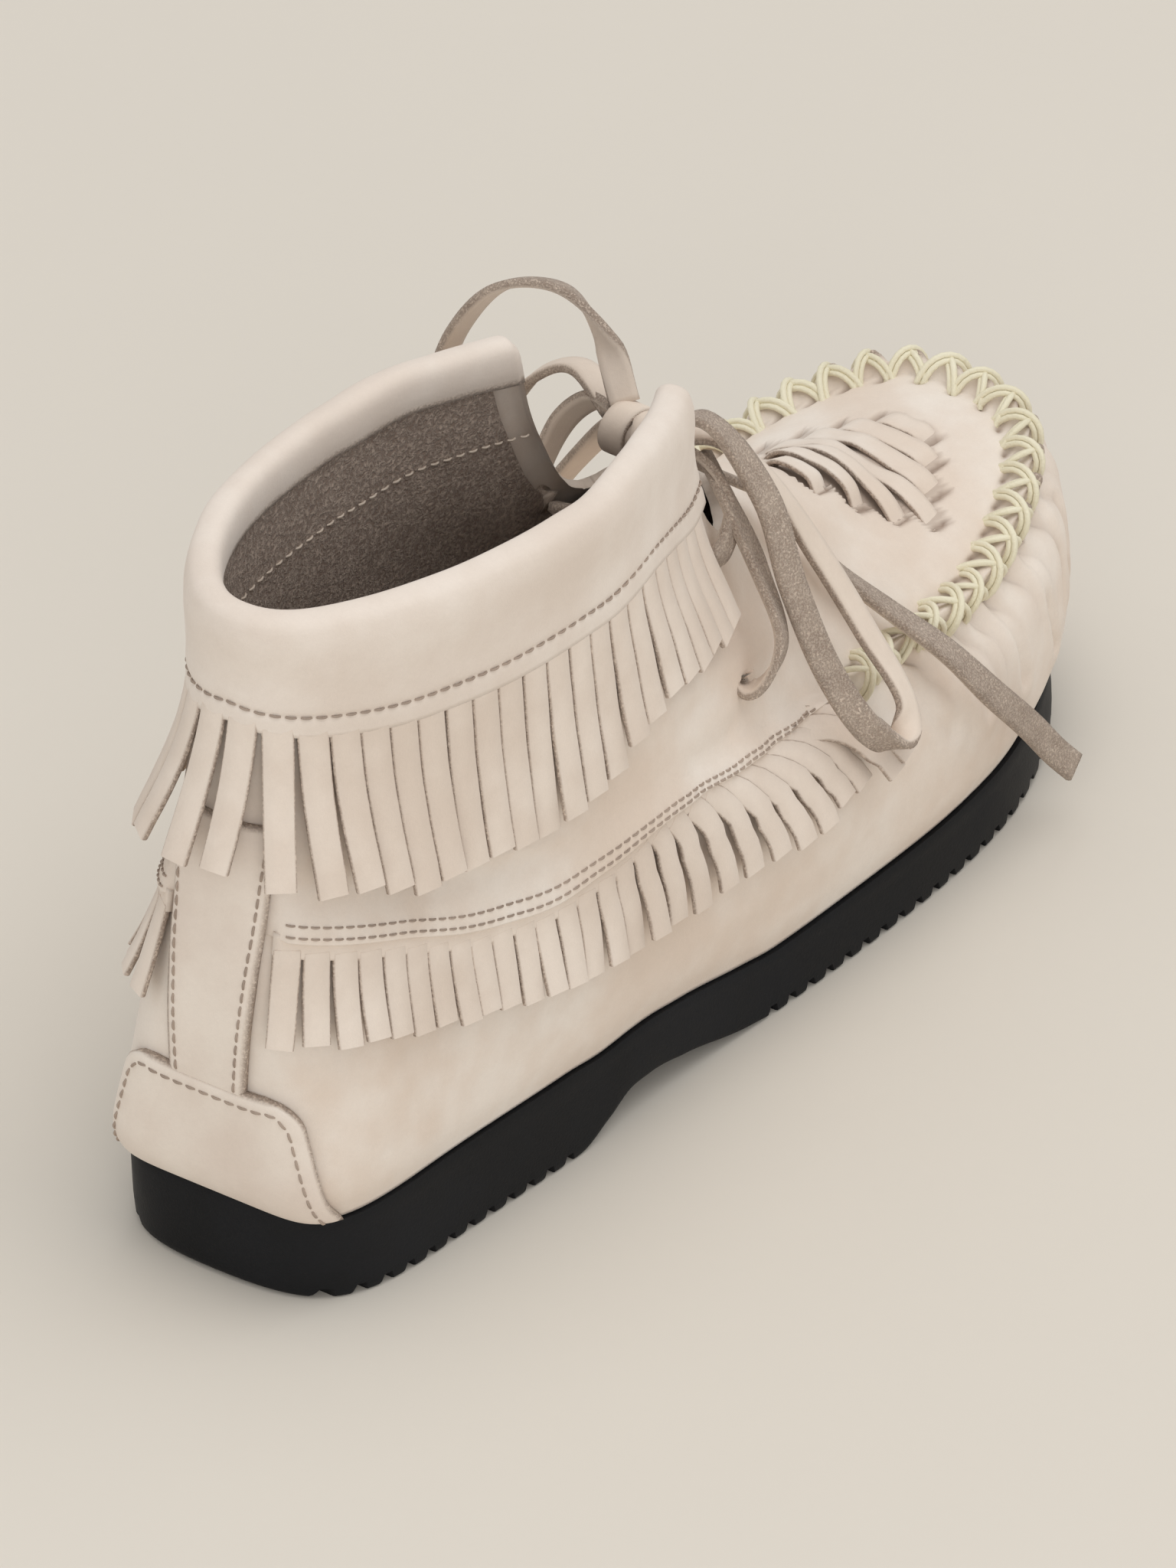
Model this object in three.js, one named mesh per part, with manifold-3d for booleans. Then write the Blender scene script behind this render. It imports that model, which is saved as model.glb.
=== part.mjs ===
// A fringed moccasin ankle boot for the right foot, standing empty on its sole.
// Millimetres. +Y points to the toe, +X to the outer side of the foot, +Z up.
// The origin is on the floor, at the middle of the heel's contact face.
import * as THREE from "three";
import { mergeVertices } from "three/addons/utils/BufferGeometryUtils.js";
import Module from "manifold-3d";

const solidKit = await Module();
solidKit.setup();

// Driving dimensions of the shoe
const SHOE_LENGTH = 268;
const BALL_WIDTH = 92;
const SHAFT_RISE = 126;
const ORIGIN_FROM_BACK = 34;

// Driving dimensions of the outsole
const HEEL_THICKNESS = 19;
const WAIST_THICKNESS = 12;
const FORE_THICKNESS = 13;
const TOE_SPRING = 7;
const ARCH_CLEARANCE = 7.5;
const SOLE_FLARE = 2.6;
const SOLE_LEDGE = 0.8;
const SOLE_EDGE_ROUND = 2;
const RIB_PITCH = 5.7;
const RIB_GROOVE_DEPTH = 2;
const RIB_GROOVE_MOUTH = 3;
const RIB_GROOVE_ROOT = 1.2;

// Driving dimensions of the leather
const UPPER_WALL = 2.2;
const INSOLE_THICKNESS = 4;
const OVERLAY_THICKNESS = 1.8;
const FRINGE_THICKNESS = 1.8;
const FIT_GAP = 0.3;
const SEAM_RIDGE_HEIGHT = 3.4;
const SEAM_RIDGE_WIDTH = 4.5;

// Driving dimensions of the cuff and the fringes
const CUFF_BAND = 20;
const CUFF_ROLL = 2.4;
const CUFF_TURN_IN = 5;
const CUFF_STRIP_LENGTH = 34;
const CUFF_STRIP_PITCH = 6.4;
const CUFF_STRIP_FLARE = 7;
const CUFF_HEADER = 5;
const SIDE_HEADER = 6;
const SIDE_STRIP_LENGTH = 16;
const SIDE_STRIP_PITCH = 5.6;
const SIDE_STRIP_FLARE = 2.5;
const STRIP_GAP = 0.7;

// Driving dimensions of the heel pieces, the throat and the lace
const BACKSTAY_HEAD_WIDTH = 22;
const BACKSTAY_FOOT_WIDTH = 17;
const HEEL_TAB_HEIGHT = 27;
const HEEL_TAB_FOOT_WIDTH = 52;
const HEEL_TAB_HEAD_WIDTH = 38;
const THROAT_WIDTH = 33;
const THROAT_REACH = 160;
const THROAT_FLOOR = 72;
const EYELET_DIAMETER = 4.5;
const LACE_WIDTH = 6;
const LACE_THICKNESS = 2.1;

// How finely the curved pieces are faceted. A half loop has STRIDES strides, and the shared
// columns lie every second stride round the heel and every fourth one farther on.
const STRIDES = 128;
const HEEL_STRIDES = 20;

const { PI, abs, cos, floor, hypot, max, min, sign, sin } = Math;
const TURN = 2 * PI;

// The last, from the feather line up to the collar. A row is one loop round the foot.
// back and front are shares of SHOE_LENGTH, the rises are shares of SHAFT_RISE above the
// sole, and the four widths are shares of BALL_WIDTH. A larger square is a boxier end.
const LEVELS = [
  { name: "feather", back: 0.02, front: 0.968, backRise: 0, ballRise: 0, frontRise: 0,
    heel: 0.61, waist: 0.69, ball: 0.93, toe: 0.95, heelSquare: 8, toeSquare: 2.8 },
  { name: "bulge", back: 0.008, front: 0.995, backRise: 0.09, ballRise: 0.08, frontRise: 0.09,
    heel: 0.65, waist: 0.75, ball: 0.99, toe: 1.0, heelSquare: 6.5, toeSquare: 2.8 },
  { name: "wall", back: 0.008, front: 1.0, backRise: 0.24, ballRise: 0.18, frontRise: 0.21,
    heel: 0.66, waist: 0.77, ball: 1.0, toe: 0.99, heelSquare: 4.5, toeSquare: 2.7 },
  { name: "shoulder", back: 0.012, front: 0.986, backRise: 0.4, ballRise: 0.27, frontRise: 0.31,
    heel: 0.65, waist: 0.76, ball: 0.9, toe: 0.88, heelSquare: 3.4, toeSquare: 2.6 },
  { name: "seam", back: 0.018, front: 0.964, backRise: 0.5, ballRise: 0.31, frontRise: 0.345,
    heel: 0.63, waist: 0.74, ball: 0.83, toe: 0.83, heelSquare: 3, toeSquare: 2.6 },
  { name: "apron", back: 0.024, front: 0.88, backRise: 0.6, ballRise: 0.38, frontRise: 0.385,
    heel: 0.62, waist: 0.71, ball: 0.68, toe: 0.6, heelSquare: 2.8, toeSquare: 2.3 },
  { name: "vamp", back: 0.03, front: 0.78, backRise: 0.68, ballRise: 0.49, frontRise: 0.46,
    heel: 0.6, waist: 0.68, ball: 0.58, toe: 0.42, heelSquare: 2.6, toeSquare: 2.2 },
  { name: "instep", back: 0.035, front: 0.67, backRise: 0.77, ballRise: 0.62, frontRise: 0.58,
    heel: 0.58, waist: 0.65, ball: 0.54, toe: 0.4, heelSquare: 2.4, toeSquare: 2.2 },
  { name: "ankle", back: 0.04, front: 0.58, backRise: 0.88, ballRise: 0.82, frontRise: 0.78,
    heel: 0.56, waist: 0.63, ball: 0.54, toe: 0.42, heelSquare: 2.3, toeSquare: 2.2 },
  { name: "collar", back: 0.047, front: 0.55, backRise: 1.0, ballRise: 0.98, frontRise: 0.97,
    heel: 0.56, waist: 0.63, ball: 0.54, toe: 0.42, heelSquare: 2.2, toeSquare: 2.2 },
];
const levelNamed = (name) => LEVELS.findIndex((row) => row.name === name);
const SEAM = levelNamed("seam");
const COLLAR = levelNamed("collar");

// Where the width columns and the rise columns of a level lie, as shares of its own length
const WIDTH_STATIONS = [0, 0.4, 0.74, 1];
const RISE_STATIONS = [0, 0.7, 1];

// The bend of a right foot: how far its centre line lies to the outer side.
// at is a share of SHOE_LENGTH, shift a share of BALL_WIDTH.
const CENTRE_LINE = [
  { at: 0, shift: 0 },
  { at: 0.12, shift: 0 },
  { at: 0.31, shift: 0.03 },
  { at: 0.5, shift: 0.01 },
  { at: 0.71, shift: -0.035 },
  { at: 0.87, shift: -0.03 },
  { at: 1, shift: -0.05 },
];

// Side view of the outsole. at is a share of SHOE_LENGTH from the back of the heel.
const SOLE_PROFILE = [
  { at: 0, under: 1.2, thickness: HEEL_THICKNESS - 1.2 },
  { at: 0.05, under: 0, thickness: HEEL_THICKNESS },
  { at: 0.27, under: 0, thickness: HEEL_THICKNESS },
  { at: 0.31, under: 0.5 * ARCH_CLEARANCE, thickness: WAIST_THICKNESS + 2.5 },
  { at: 0.345, under: ARCH_CLEARANCE, thickness: WAIST_THICKNESS - 1 },
  { at: 0.4, under: 0.75 * ARCH_CLEARANCE, thickness: WAIST_THICKNESS - 0.5 },
  { at: 0.48, under: 0.1 * ARCH_CLEARANCE, thickness: FORE_THICKNESS },
  { at: 0.52, under: 0, thickness: FORE_THICKNESS },
  { at: 0.76, under: 0, thickness: FORE_THICKNESS },
  { at: 0.88, under: 0.3 * TOE_SPRING, thickness: FORE_THICKNESS },
  { at: 1, under: TOE_SPRING, thickness: FORE_THICKNESS - 2 },
];

// How the cuff and its fringe vary round the foot, alike on both sides. turn runs from the back
// of the heel to the toe at half a turn; band and hang are shares of CUFF_BAND and
// CUFF_STRIP_LENGTH.
const CUFF_DEPTHS = [
  { turn: 0, band: 0.8, hang: 0.88 },
  { turn: 0.38, band: 0.92, hang: 0.96 },
  { turn: 0.8, band: 1.01, hang: 1.05 },
  { turn: 1.25, band: 1.03, hang: 1.08 },
  { turn: 1.8, band: 1.03, hang: 0.8 },
  { turn: 2.45, band: 1.16, hang: 0.75 },
];

// The side seam, where the side fringes are sewn in, alike on both sides. fall is how far it
// lies below the collar, as a share of SHAFT_RISE; hang is a share of SIDE_STRIP_LENGTH; lift
// is how far it stands off where the leather hollows, in shares of FRINGE_THICKNESS.
const SIDE_SEAM = [
  { turn: 0.12, fall: 0.511, hang: 0.97, lift: 0 },
  { turn: 0.4, fall: 0.571, hang: 0.88, lift: 0 },
  { turn: 0.68, fall: 0.649, hang: 0.78, lift: 0 },
  { turn: 0.95, fall: 0.69, hang: 0.9, lift: 0 },
  { turn: 1.32, fall: 0.71, hang: 1.2, lift: 0.2 },
  { turn: 1.62, fall: 0.75, hang: 1.35, lift: 0.5 },
  { turn: 1.76, fall: 0.78, hang: 1.3, lift: 0.5 },
  { turn: 1.9, fall: 0.845, hang: 1.1, lift: 0.4 },
  { turn: 2.03, fall: 0.911, hang: 0.9, lift: 0.2 },
];

// Small helpers
const mix =(a, b, t) => a + (b - a) * t;
const clamp = (x, low, high) => min(high, max(low, x));
const ease = (t) => t * t * (3 - 2 * t);

// A smooth curve through values at rising stations, flat beyond its ends, with no overshoot.
function smoothThrough(stations, values) {
  const n = stations.length;
  const slope = [];
  for (let i = 0; i + 1 < n; i++) {
    slope.push((values[i + 1] - values[i]) / (stations[i + 1] - stations[i]));
  }
  const tangent = values.map((_, i) => {
    if (i === 0) return slope[0];
    if (i === n - 1) return slope[n - 2];
    const [a, b] = [slope[i - 1], slope[i]];
    return a * b <= 0 ? 0 : (2 * a * b) / (a + b);
  });
  return (at) => {
    const x = clamp(at, stations[0], stations[n - 1]);
    let i = 0;
    while (i < n - 2 && x > stations[i + 1]) i++;
    const width = stations[i + 1] - stations[i];
    const t = (x - stations[i]) / width;
    const near = values[i] + (t * width * tangent[i]);
    const far = values[i + 1] - ((1 - t) * width * tangent[i + 1]);
    return mix(near, far, ease(t));
  };
}

const byShare = (rows, column) =>
  smoothThrough(rows.map((row) => row.at), rows.map((row) => row[column]));
const centreShift = byShare(CENTRE_LINE, "shift");
const soleUnder = byShare(SOLE_PROFILE, "under");
const soleThickness = byShare(SOLE_PROFILE, "thickness");
const levelIndices = LEVELS.map((_, i) => i);
const levelCurves = Object.fromEntries(
  Object.keys(LEVELS[0])
    .filter((column) => column !== "name")
    .map((column) => [column, smoothThrough(levelIndices, LEVELS.map((row) => row[column]))]),
);

const steps = (count) => Array.from({ length: count }, (_, i) => i);
const spaced = (from, to, count) => steps(count + 1).map((i) => mix(from, to, i / count));

// Heights of the sole's two faces at a place y along the shoe
const shareAt = (y) => clamp((y + ORIGIN_FROM_BACK) / SHOE_LENGTH, 0, 1);
const underAt = (y) => soleUnder(shareAt(y));
const soleTopAt = (y) => soleUnder(shareAt(y)) + soleThickness(shareAt(y));

// One loop of the last at a level, walked at even strides from the back of the heel to the
// toe, once along the outer side and once along the inner side
const LOOPS_PER_LEVEL = 16;
function measuredLoop(level) {
  const row = Object.fromEntries(
    Object.entries(levelCurves).map(([column, curve]) => [column, curve(level)]),
  );
  const widthAt = smoothThrough(WIDTH_STATIONS, [row.heel, row.waist, row.ball, row.toe]);
  const riseAt = smoothThrough(RISE_STATIONS, [row.backRise, row.ballRise, row.frontRise]);
  return [1, -1].map((side) => {
    const rough = spaced(0, PI, 2 * STRIDES).map((angle) => {
      const share = (1 - cos(angle)) / 2;
      const square = mix(row.heelSquare, row.toeSquare, ease(share));
      const fullness = max(0, 1 - abs(2 * share - 1) ** square) ** (1 / square);
      const y = SHOE_LENGTH * mix(row.back, row.front, share) - ORIGIN_FROM_BACK;
      const half = (BALL_WIDTH / 2) * widthAt(share) * fullness;
      const x = BALL_WIDTH * centreShift(shareAt(y)) + side * half;
      return new THREE.Vector3(x, y, soleTopAt(y) + FIT_GAP + SHAFT_RISE * riseAt(share));
    });
    return evenly(rough, STRIDES);
  });
}

// A path of points resampled at even strides
function evenly(path, count) {
  const reach = [0];
  for (let i = 1; i < path.length; i++) reach.push(reach[i - 1] + path[i].distanceTo(path[i - 1]));
  const total = reach[path.length - 1];
  let i = 0;
  return steps(count + 1).map((k) => {
    const target = (total * k) / count;
    while (i < path.length - 2 && reach[i + 1] < target) i++;
    const t = (target - reach[i]) / (reach[i + 1] - reach[i] || 1);
    return path[i].clone().lerp(path[i + 1], clamp(t, 0, 1));
  });
}

// The outer surface of the last. turn runs round the foot from the back of the heel, first
// along the outer side; level runs from the feather line up to the collar.
const loops = spaced(0, COLLAR, LOOPS_PER_LEVEL * COLLAR).map(measuredLoop);
function lastPoint(turn, level) {
  const round = ((turn % TURN) + TURN) % TURN;
  const side = round > PI ? 1 : 0;
  const at = (side ? (TURN - round) / PI : round / PI) * STRIDES;
  const i = min(STRIDES - 1, floor(at));
  const up = clamp(level, 0, COLLAR) * LOOPS_PER_LEVEL;
  const k = min(loops.length - 2, floor(up));
  const [low, high] = [loops[k][side], loops[k + 1][side]];
  const below = low[i].clone().lerp(low[i + 1], at - i);
  return below.lerp(high[i].clone().lerp(high[i + 1], at - i), up - k);
}

// The outward normal of the last
function lastNormal(turn, level) {
  const step = 0.02;
  const low = max(0, level - step);
  const high = min(COLLAR, level + step);
  const round = lastPoint(turn + step, level).sub(lastPoint(turn - step, level));
  const up = lastPoint(turn, high).sub(lastPoint(turn, low));
  return round.cross(up).normalize();
}

// A point off the last by a distance, outwards where it is positive
function offLast(turn, level, distance) {
  return lastPoint(turn, level).addScaledVector(lastNormal(turn, level), distance);
}

// The shared columns, as turns
const halfColumns = [
  ...steps(HEEL_STRIDES / 2).map((i) => 2 * i),
  ...steps((STRIDES - HEEL_STRIDES) / 4).map((i) => HEEL_STRIDES + 4 * i),
];
const COLUMNS = [...halfColumns, ...halfColumns.map((i) => STRIDES + (STRIDES - i)).reverse()]
  .map((i) => (i === 2 * STRIDES ? STRIDES : i))
  .sort((a, b) => a - b)
  .map((i) => (PI * i) / STRIDES);

// The level that lies a distance down the leather from another level
const WALK_STEPS = 150;
function levelBelow(turn, from, drop) {
  let travelled = 0;
  let here = lastPoint(turn, from);
  for (let i = 1; i <= WALK_STEPS; i++) {
    const next = lastPoint(turn, from * (1 - i / WALK_STEPS));
    const stride = next.distanceTo(here);
    if (travelled + stride >= drop) {
      return from * (1 - (i - 1 + (drop - travelled) / stride) / WALK_STEPS);
    }
    travelled += stride;
    here = next;
  }
  return 0;
}

// The level at a height over the floor
function levelAtHeight(turn, z) {
  let [low, high] = [0, COLLAR];
  for (let i = 0; i < 24; i++) {
    const middle = (low + high) / 2;
    if (lastPoint(turn, middle).z < z) low = middle;
    else high = middle;
  }
  return low;
}

// The turn that lies a distance round the leather from the back of the heel, along the outer
// side where the distance is positive
function turnRound(level, distance) {
  let travelled = 0;
  let here = lastPoint(0, level);
  for (let i = 1; i <= STRIDES; i++) {
    const next = lastPoint((sign(distance) * PI * i) / STRIDES, level);
    const stride = next.distanceTo(here);
    if (travelled + stride >= abs(distance)) {
      return (sign(distance) * PI * (i - 1 + (abs(distance) - travelled) / stride)) / STRIDES;
    }
    travelled += stride;
    here = next;
  }
  return sign(distance) * PI;
}

// Where a walk over the leather from a turn and a level ends, straight downhill
const STEP_DOWN = 2;
function downhill(turn, level, distance) {
  let [t, l] = [turn, level];
  const count = Math.ceil(distance / STEP_DOWN);
  for (let i = 0; i < count; i++) {
    const [e, f] = [0.01, 0.03];
    const round = lastPoint(t + e, l).sub(lastPoint(t - e, l)).divideScalar(2 * e);
    const up = lastPoint(t, l + f).sub(lastPoint(t, l - f)).divideScalar(2 * f);
    const normal = round.clone().cross(up).normalize();
    const way = new THREE.Vector3(0, 0, -1).addScaledVector(normal, normal.z).normalize();
    way.multiplyScalar(distance / count);
    const [a, b, c] = [round.dot(round), round.dot(up), up.dot(up)];
    const [g, h] = [round.dot(way), up.dot(way)];
    t += (c * g - b * h) / (a * c - b * b);
    l += (a * h - b * g) / (a * c - b * b);
  }
  return [t, l];
}

// The turn at which a level reaches a place along the shoe, on one side of it
function turnAtY(level, y, side) {
  let [low, high] = [0, PI];
  for (let i = 0; i < 24; i++) {
    const middle = (low + high) / 2;
    if (lastPoint(side * middle, level).y < y) low = middle;
    else high = middle;
  }
  return side * low;
}

// A point beside the last, found by its side, its place along the shoe and its height
function besideLast(side, y, z, distance) {
  let [low, high] = [0, PI];
  for (let i = 0; i < 24; i++) {
    const middle = (low + high) / 2;
    if (lastPoint(side * middle, levelAtHeight(side * middle, z)).y < y) low = middle;
    else high = middle;
  }
  return offLast(side * low, levelAtHeight(side * low, z), distance);
}

// The raised seam round the toe: a bead in the wall that rises ahead of the side fringes
const SEAM_START_Y = 0.625 * SHOE_LENGTH - ORIGIN_FROM_BACK;
const SEAM_RUN_IN = 8;
function seamRidge(turn, level) {
  const seam = lastPoint(turn, SEAM);
  const fade = ease(clamp((seam.y - SEAM_START_Y) / SEAM_RUN_IN, 0, 1));
  const away = lastPoint(turn, level).distanceTo(seam);
  return SEAM_RIDGE_HEIGHT * fade * ease(clamp(1 - away / SEAM_RIDGE_WIDTH, 0, 1));
}

// Meshes and solids
function geometryOf(points, triangles) {
  const geometry = new THREE.BufferGeometry();
  const flat = points.flatMap((p) => [p.x, p.y, p.z]);
  geometry.setAttribute("position", new THREE.Float32BufferAttribute(flat, 3));
  geometry.setIndex(triangles);
  return geometry;
}

// A skin over a grid of closed rings. It ends in a fan over the first and the last ring, or
// is left open there, or its last ring is joined to its first.
function ringGeometry(rings, { looped = false, open = false } = {}) {
  const size = rings[0].length;
  const points = rings.flat();
  const triangles = [];
  const last = looped ? rings.length : rings.length - 1;
  for (let i = 0; i < last; i++) {
    const a = i * size;
    const b = ((i + 1) % rings.length) * size;
    for (let j = 0; j < size; j++) {
      const k = (j + 1) % size;
      triangles.push(a + j, a + k, b + k, a + j, b + k, b + j);
    }
  }
  if (!looped && !open) {
    const end = (rings.length - 1) * size;
    for (let j = 1; j + 1 < size; j++) {
      triangles.push(0, j + 1, j, end, end + j, end + j + 1);
    }
  }
  return geometryOf(points, triangles);
}

function solidOf(geometry) {
  const bare = geometry.index ? geometry.toNonIndexed() : geometry.clone();
  bare.deleteAttribute("normal");
  bare.deleteAttribute("uv");
  const merged = mergeVertices(bare, 1e-4);
  const made = (flip) => {
    const triVerts = new Uint32Array(merged.index.array);
    if (flip) triVerts.reverse();
    return new solidKit.Manifold(
      new solidKit.Mesh({ numProp: 3, vertProperties: merged.attributes.position.array, triVerts }),
    );
  };
  const solid = made(false);
  return solid.volume() < 0 ? made(true) : solid;
}

function geometryFrom(solid) {
  const mesh = solid.getMesh();
  const geometry = new THREE.BufferGeometry();
  geometry.setAttribute("position", new THREE.BufferAttribute(mesh.vertProperties, 3));
  geometry.setIndex(new THREE.BufferAttribute(mesh.triVerts, 1));
  return geometry;
}

// The outline of a plate that lies under the foot: the feather line set off sideways and
// rounded off at its corners, at a height that depends on the place along the shoe
const featherLoop = COLUMNS.map((turn) => lastPoint(turn, 0));
function plateRing(spread, rounding, heightAt) {
  const count = featherLoop.length;
  let loop = featherLoop;
  for (let pass = 0; pass < rounding; pass++) {
    loop = loop.map((p, i) => {
      const middle = loop[(i + 1) % count].clone().add(loop[(i + count - 1) % count]);
      return p.clone().lerp(middle.multiplyScalar(0.5), 0.5);
    });
  }
  return loop.map((p, i) => {
    const beside = loop[(i + 1) % count].clone().sub(loop[(i + count - 1) % count]);
    const rim = p.clone().addScaledVector(new THREE.Vector3(beside.y, -beside.x, 0).normalize(), spread);
    rim.z = heightAt(rim.y);
    return rim;
  });
}

// A plate from rings that rise from its underside to its top, closed by strips that run from
// one side of the foot to the other
function plateSolid(rings) {
  const size = rings[0].length;
  const half = size / 2;
  const triangles = [];
  for (let ring = 0; ring + 1 < rings.length; ring++) {
    for (let i = 0; i < size; i++) {
      const j = (i + 1) % size;
      const [a, b] = [ring * size, (ring + 1) * size];
      triangles.push(a + i, a + j, b + j, a + i, b + j, b + i);
    }
  }
  const capStrips = (base, upwards) => {
    for (let i = 0; i < half; i++) {
      const quad = [i, i + 1, size - i - 1, (size - i) % size];
      const [a, b, c, d] = quad.map((corner) => base + corner);
      if (i > 0) triangles.push(...(upwards ? [a, b, d] : [a, d, b]));
      if (i < half - 1) triangles.push(...(upwards ? [b, c, d] : [b, d, c]));
    }
  };
  capStrips(0, false);
  capStrips((rings.length - 1) * size, true);
  return solidOf(geometryOf(rings.flat(), triangles));
}

// A sheet of leather as a solid. Each section lists the points of the side that faces the
// shoe and, in step with them, those of the side that faces away.
function sheetSolid(sections) {
  const count = sections[0].under.length;
  const size = 2 * count;
  const rings = sections.map(({ under, over }) => [...under, ...[...over].reverse()]);
  const geometry = ringGeometry(rings, { open: true });
  const triangles = [...geometry.index.array];
  const end = (rings.length - 1) * size;
  for (let i = 0; i + 1 < count; i++) {
    const [a, b, c, d] = [i, i + 1, size - 2 - i, size - 1 - i];
    triangles.push(a, c, b, a, d, c);
    triangles.push(end + a, end + b, end + c, end + a, end + c, end + d);
  }
  return solidOf(geometryOf(rings.flat(), triangles));
}

// Outsole
const sideHeight = (drop) => (y) => mix(soleTopAt(y), underAt(y), drop);
const outsoleBlank = plateSolid([
  plateRing(SOLE_FLARE - SOLE_EDGE_ROUND, 8, sideHeight(1)),
  plateRing(SOLE_FLARE, 8, sideHeight(0.88)),
  plateRing(SOLE_LEDGE + 0.6, 2, sideHeight(0.25)),
  plateRing(SOLE_LEDGE, 0, sideHeight(0)),
]);

// One groove across the tread, a bar with a trapezium section
const alongShoe = new THREE.Matrix4().makeBasis(
  new THREE.Vector3(0, 1, 0),
  new THREE.Vector3(0, 0, 1),
  new THREE.Vector3(1, 0, 0),
);
function treadGroove(y) {
  const tilt = Math.atan2(underAt(y + 1) - underAt(y - 1), 2);
  const clear = 1;
  const section = new THREE.Shape([
    new THREE.Vector2(-RIB_GROOVE_MOUTH / 2, -clear),
    new THREE.Vector2(RIB_GROOVE_MOUTH / 2, -clear),
    new THREE.Vector2(RIB_GROOVE_ROOT / 2, RIB_GROOVE_DEPTH),
    new THREE.Vector2(-RIB_GROOVE_ROOT / 2, RIB_GROOVE_DEPTH),
  ]);
  const bar = new THREE.ExtrudeGeometry(section, { depth: 1.4 * BALL_WIDTH, bevelEnabled: false });
  bar.translate(0, 0, -0.7 * BALL_WIDTH).applyMatrix4(alongShoe);
  return solidOf(bar.rotateX(tilt).translate(0, y, underAt(y)));
}

// Ribs stand at whole multiples of the pitch, under the heel and under the forefoot
const RIBBED_SHARES = [[0.02, 0.27], [0.47, 0.985]];
const grooveStations = RIBBED_SHARES.flatMap(([from, to]) => {
  const first = Math.ceil((SHOE_LENGTH * from - ORIGIN_FROM_BACK) / RIB_PITCH);
  const last = floor((SHOE_LENGTH * to - ORIGIN_FROM_BACK) / RIB_PITCH);
  return steps(last - first + 1).map((i) => (first + i + 0.5) * RIB_PITCH);
});
const outsole = grooveStations.reduce((solid, y) => solid.subtract(treadGroove(y)), outsoleBlank);

// Insole: a plate inside the upper's feather line
const insoleSpread = -(UPPER_WALL + 1.5 * FIT_GAP);
const insoleHeight = (lift) => (y) => soleTopAt(y) + 1.5 * FIT_GAP + lift;
const insole = plateSolid([
  plateRing(insoleSpread, 0, insoleHeight(0)),
  plateRing(insoleSpread, 0, insoleHeight(INSOLE_THICKNESS - 1)),
  plateRing(insoleSpread - 1.2, 0, insoleHeight(INSOLE_THICKNESS)),
]);

// Upper: an outer skin with the raised seam, and an inner skin a wall's thickness inside it
const LOW_ROWS = [0, 0.5, 1, 2, 3];
const SEAM_ROWS = [SEAM - 0.6, SEAM - 0.3, SEAM, SEAM + 0.12, SEAM + 0.3];
const HIGH_ROWS = [SEAM + 1, SEAM + 2, SEAM + 2.5, SEAM + 3, SEAM + 3.5, SEAM + 4, SEAM + 4.5, COLLAR];
const outerLevels = [...LOW_ROWS, ...SEAM_ROWS, ...HIGH_ROWS];
const innerLevels = [0, 1, 2, ...spaced(SEAM, COLLAR, COLLAR - SEAM)].reverse();
const outerRings = outerLevels.map((level) =>
  COLUMNS.map((turn) => offLast(turn, level, seamRidge(turn, level))),
);
const innerRings = innerLevels.map((level) =>
  COLUMNS.map((turn) => {
    const skin = offLast(turn, level, -UPPER_WALL);
    if (level === 0 || level === COLLAR) skin.z = lastPoint(turn, level).z;
    return skin;
  }),
);
const upperShell = solidOf(ringGeometry([...outerRings, ...innerRings], { looped: true }));

// The throat: a slot from the collar's front down the instep, with a round end
const throatEndY = THROAT_REACH - ORIGIN_FROM_BACK;
const throatCentreX = lastPoint(PI, COLLAR).x;
const throatOutline = new THREE.Shape();
throatOutline.moveTo(-THROAT_WIDTH / 2, throatEndY - 75);
throatOutline.lineTo(THROAT_WIDTH / 2, throatEndY - 75);
throatOutline.lineTo(THROAT_WIDTH / 2, throatEndY - THROAT_WIDTH / 2);
throatOutline.absarc(0, throatEndY - THROAT_WIDTH / 2, THROAT_WIDTH / 2, 0, PI, false);
const throatCutter = solidOf(
  new THREE.ExtrudeGeometry(throatOutline, { depth: 120, bevelEnabled: false, curveSegments: 7 })
    .translate(throatCentreX, 0, THROAT_FLOOR),
);

// Eyelets: two pairs of plain punched holes beside the throat. along is a share of
// SHOE_LENGTH from the back of the heel, rise a share of SHAFT_RISE above the heel.
const EYELETS = [
  { name: "lower", along: 0.504, rise: 0.4286 },
  { name: "upper", along: 0.515, rise: 0.619 },
];
const eyeletSeats = EYELETS.flatMap(({ along, rise }) =>
  [1, -1].map((side) => {
    const y = SHOE_LENGTH * along - ORIGIN_FROM_BACK;
    const z = HEEL_THICKNESS + SHAFT_RISE * rise;
    const centre = besideLast(side, y, z, 0);
    return { centre, normal: besideLast(side, y, z, 1).sub(centre) };
  }),
);
function eyeletPunch({ centre, normal }) {
  const punch = new THREE.CylinderGeometry(EYELET_DIAMETER / 2, EYELET_DIAMETER / 2, 14, 12);
  const turnTo = new THREE.Quaternion().setFromUnitVectors(new THREE.Vector3(0, 1, 0), normal);
  return solidOf(punch.applyQuaternion(turnTo).translate(centre.x, centre.y, centre.z));
}
const upper = eyeletSeats.reduce(
  (solid, seat) => solid.subtract(eyeletPunch(seat)),
  upperShell.subtract(throatCutter),
);

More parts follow.
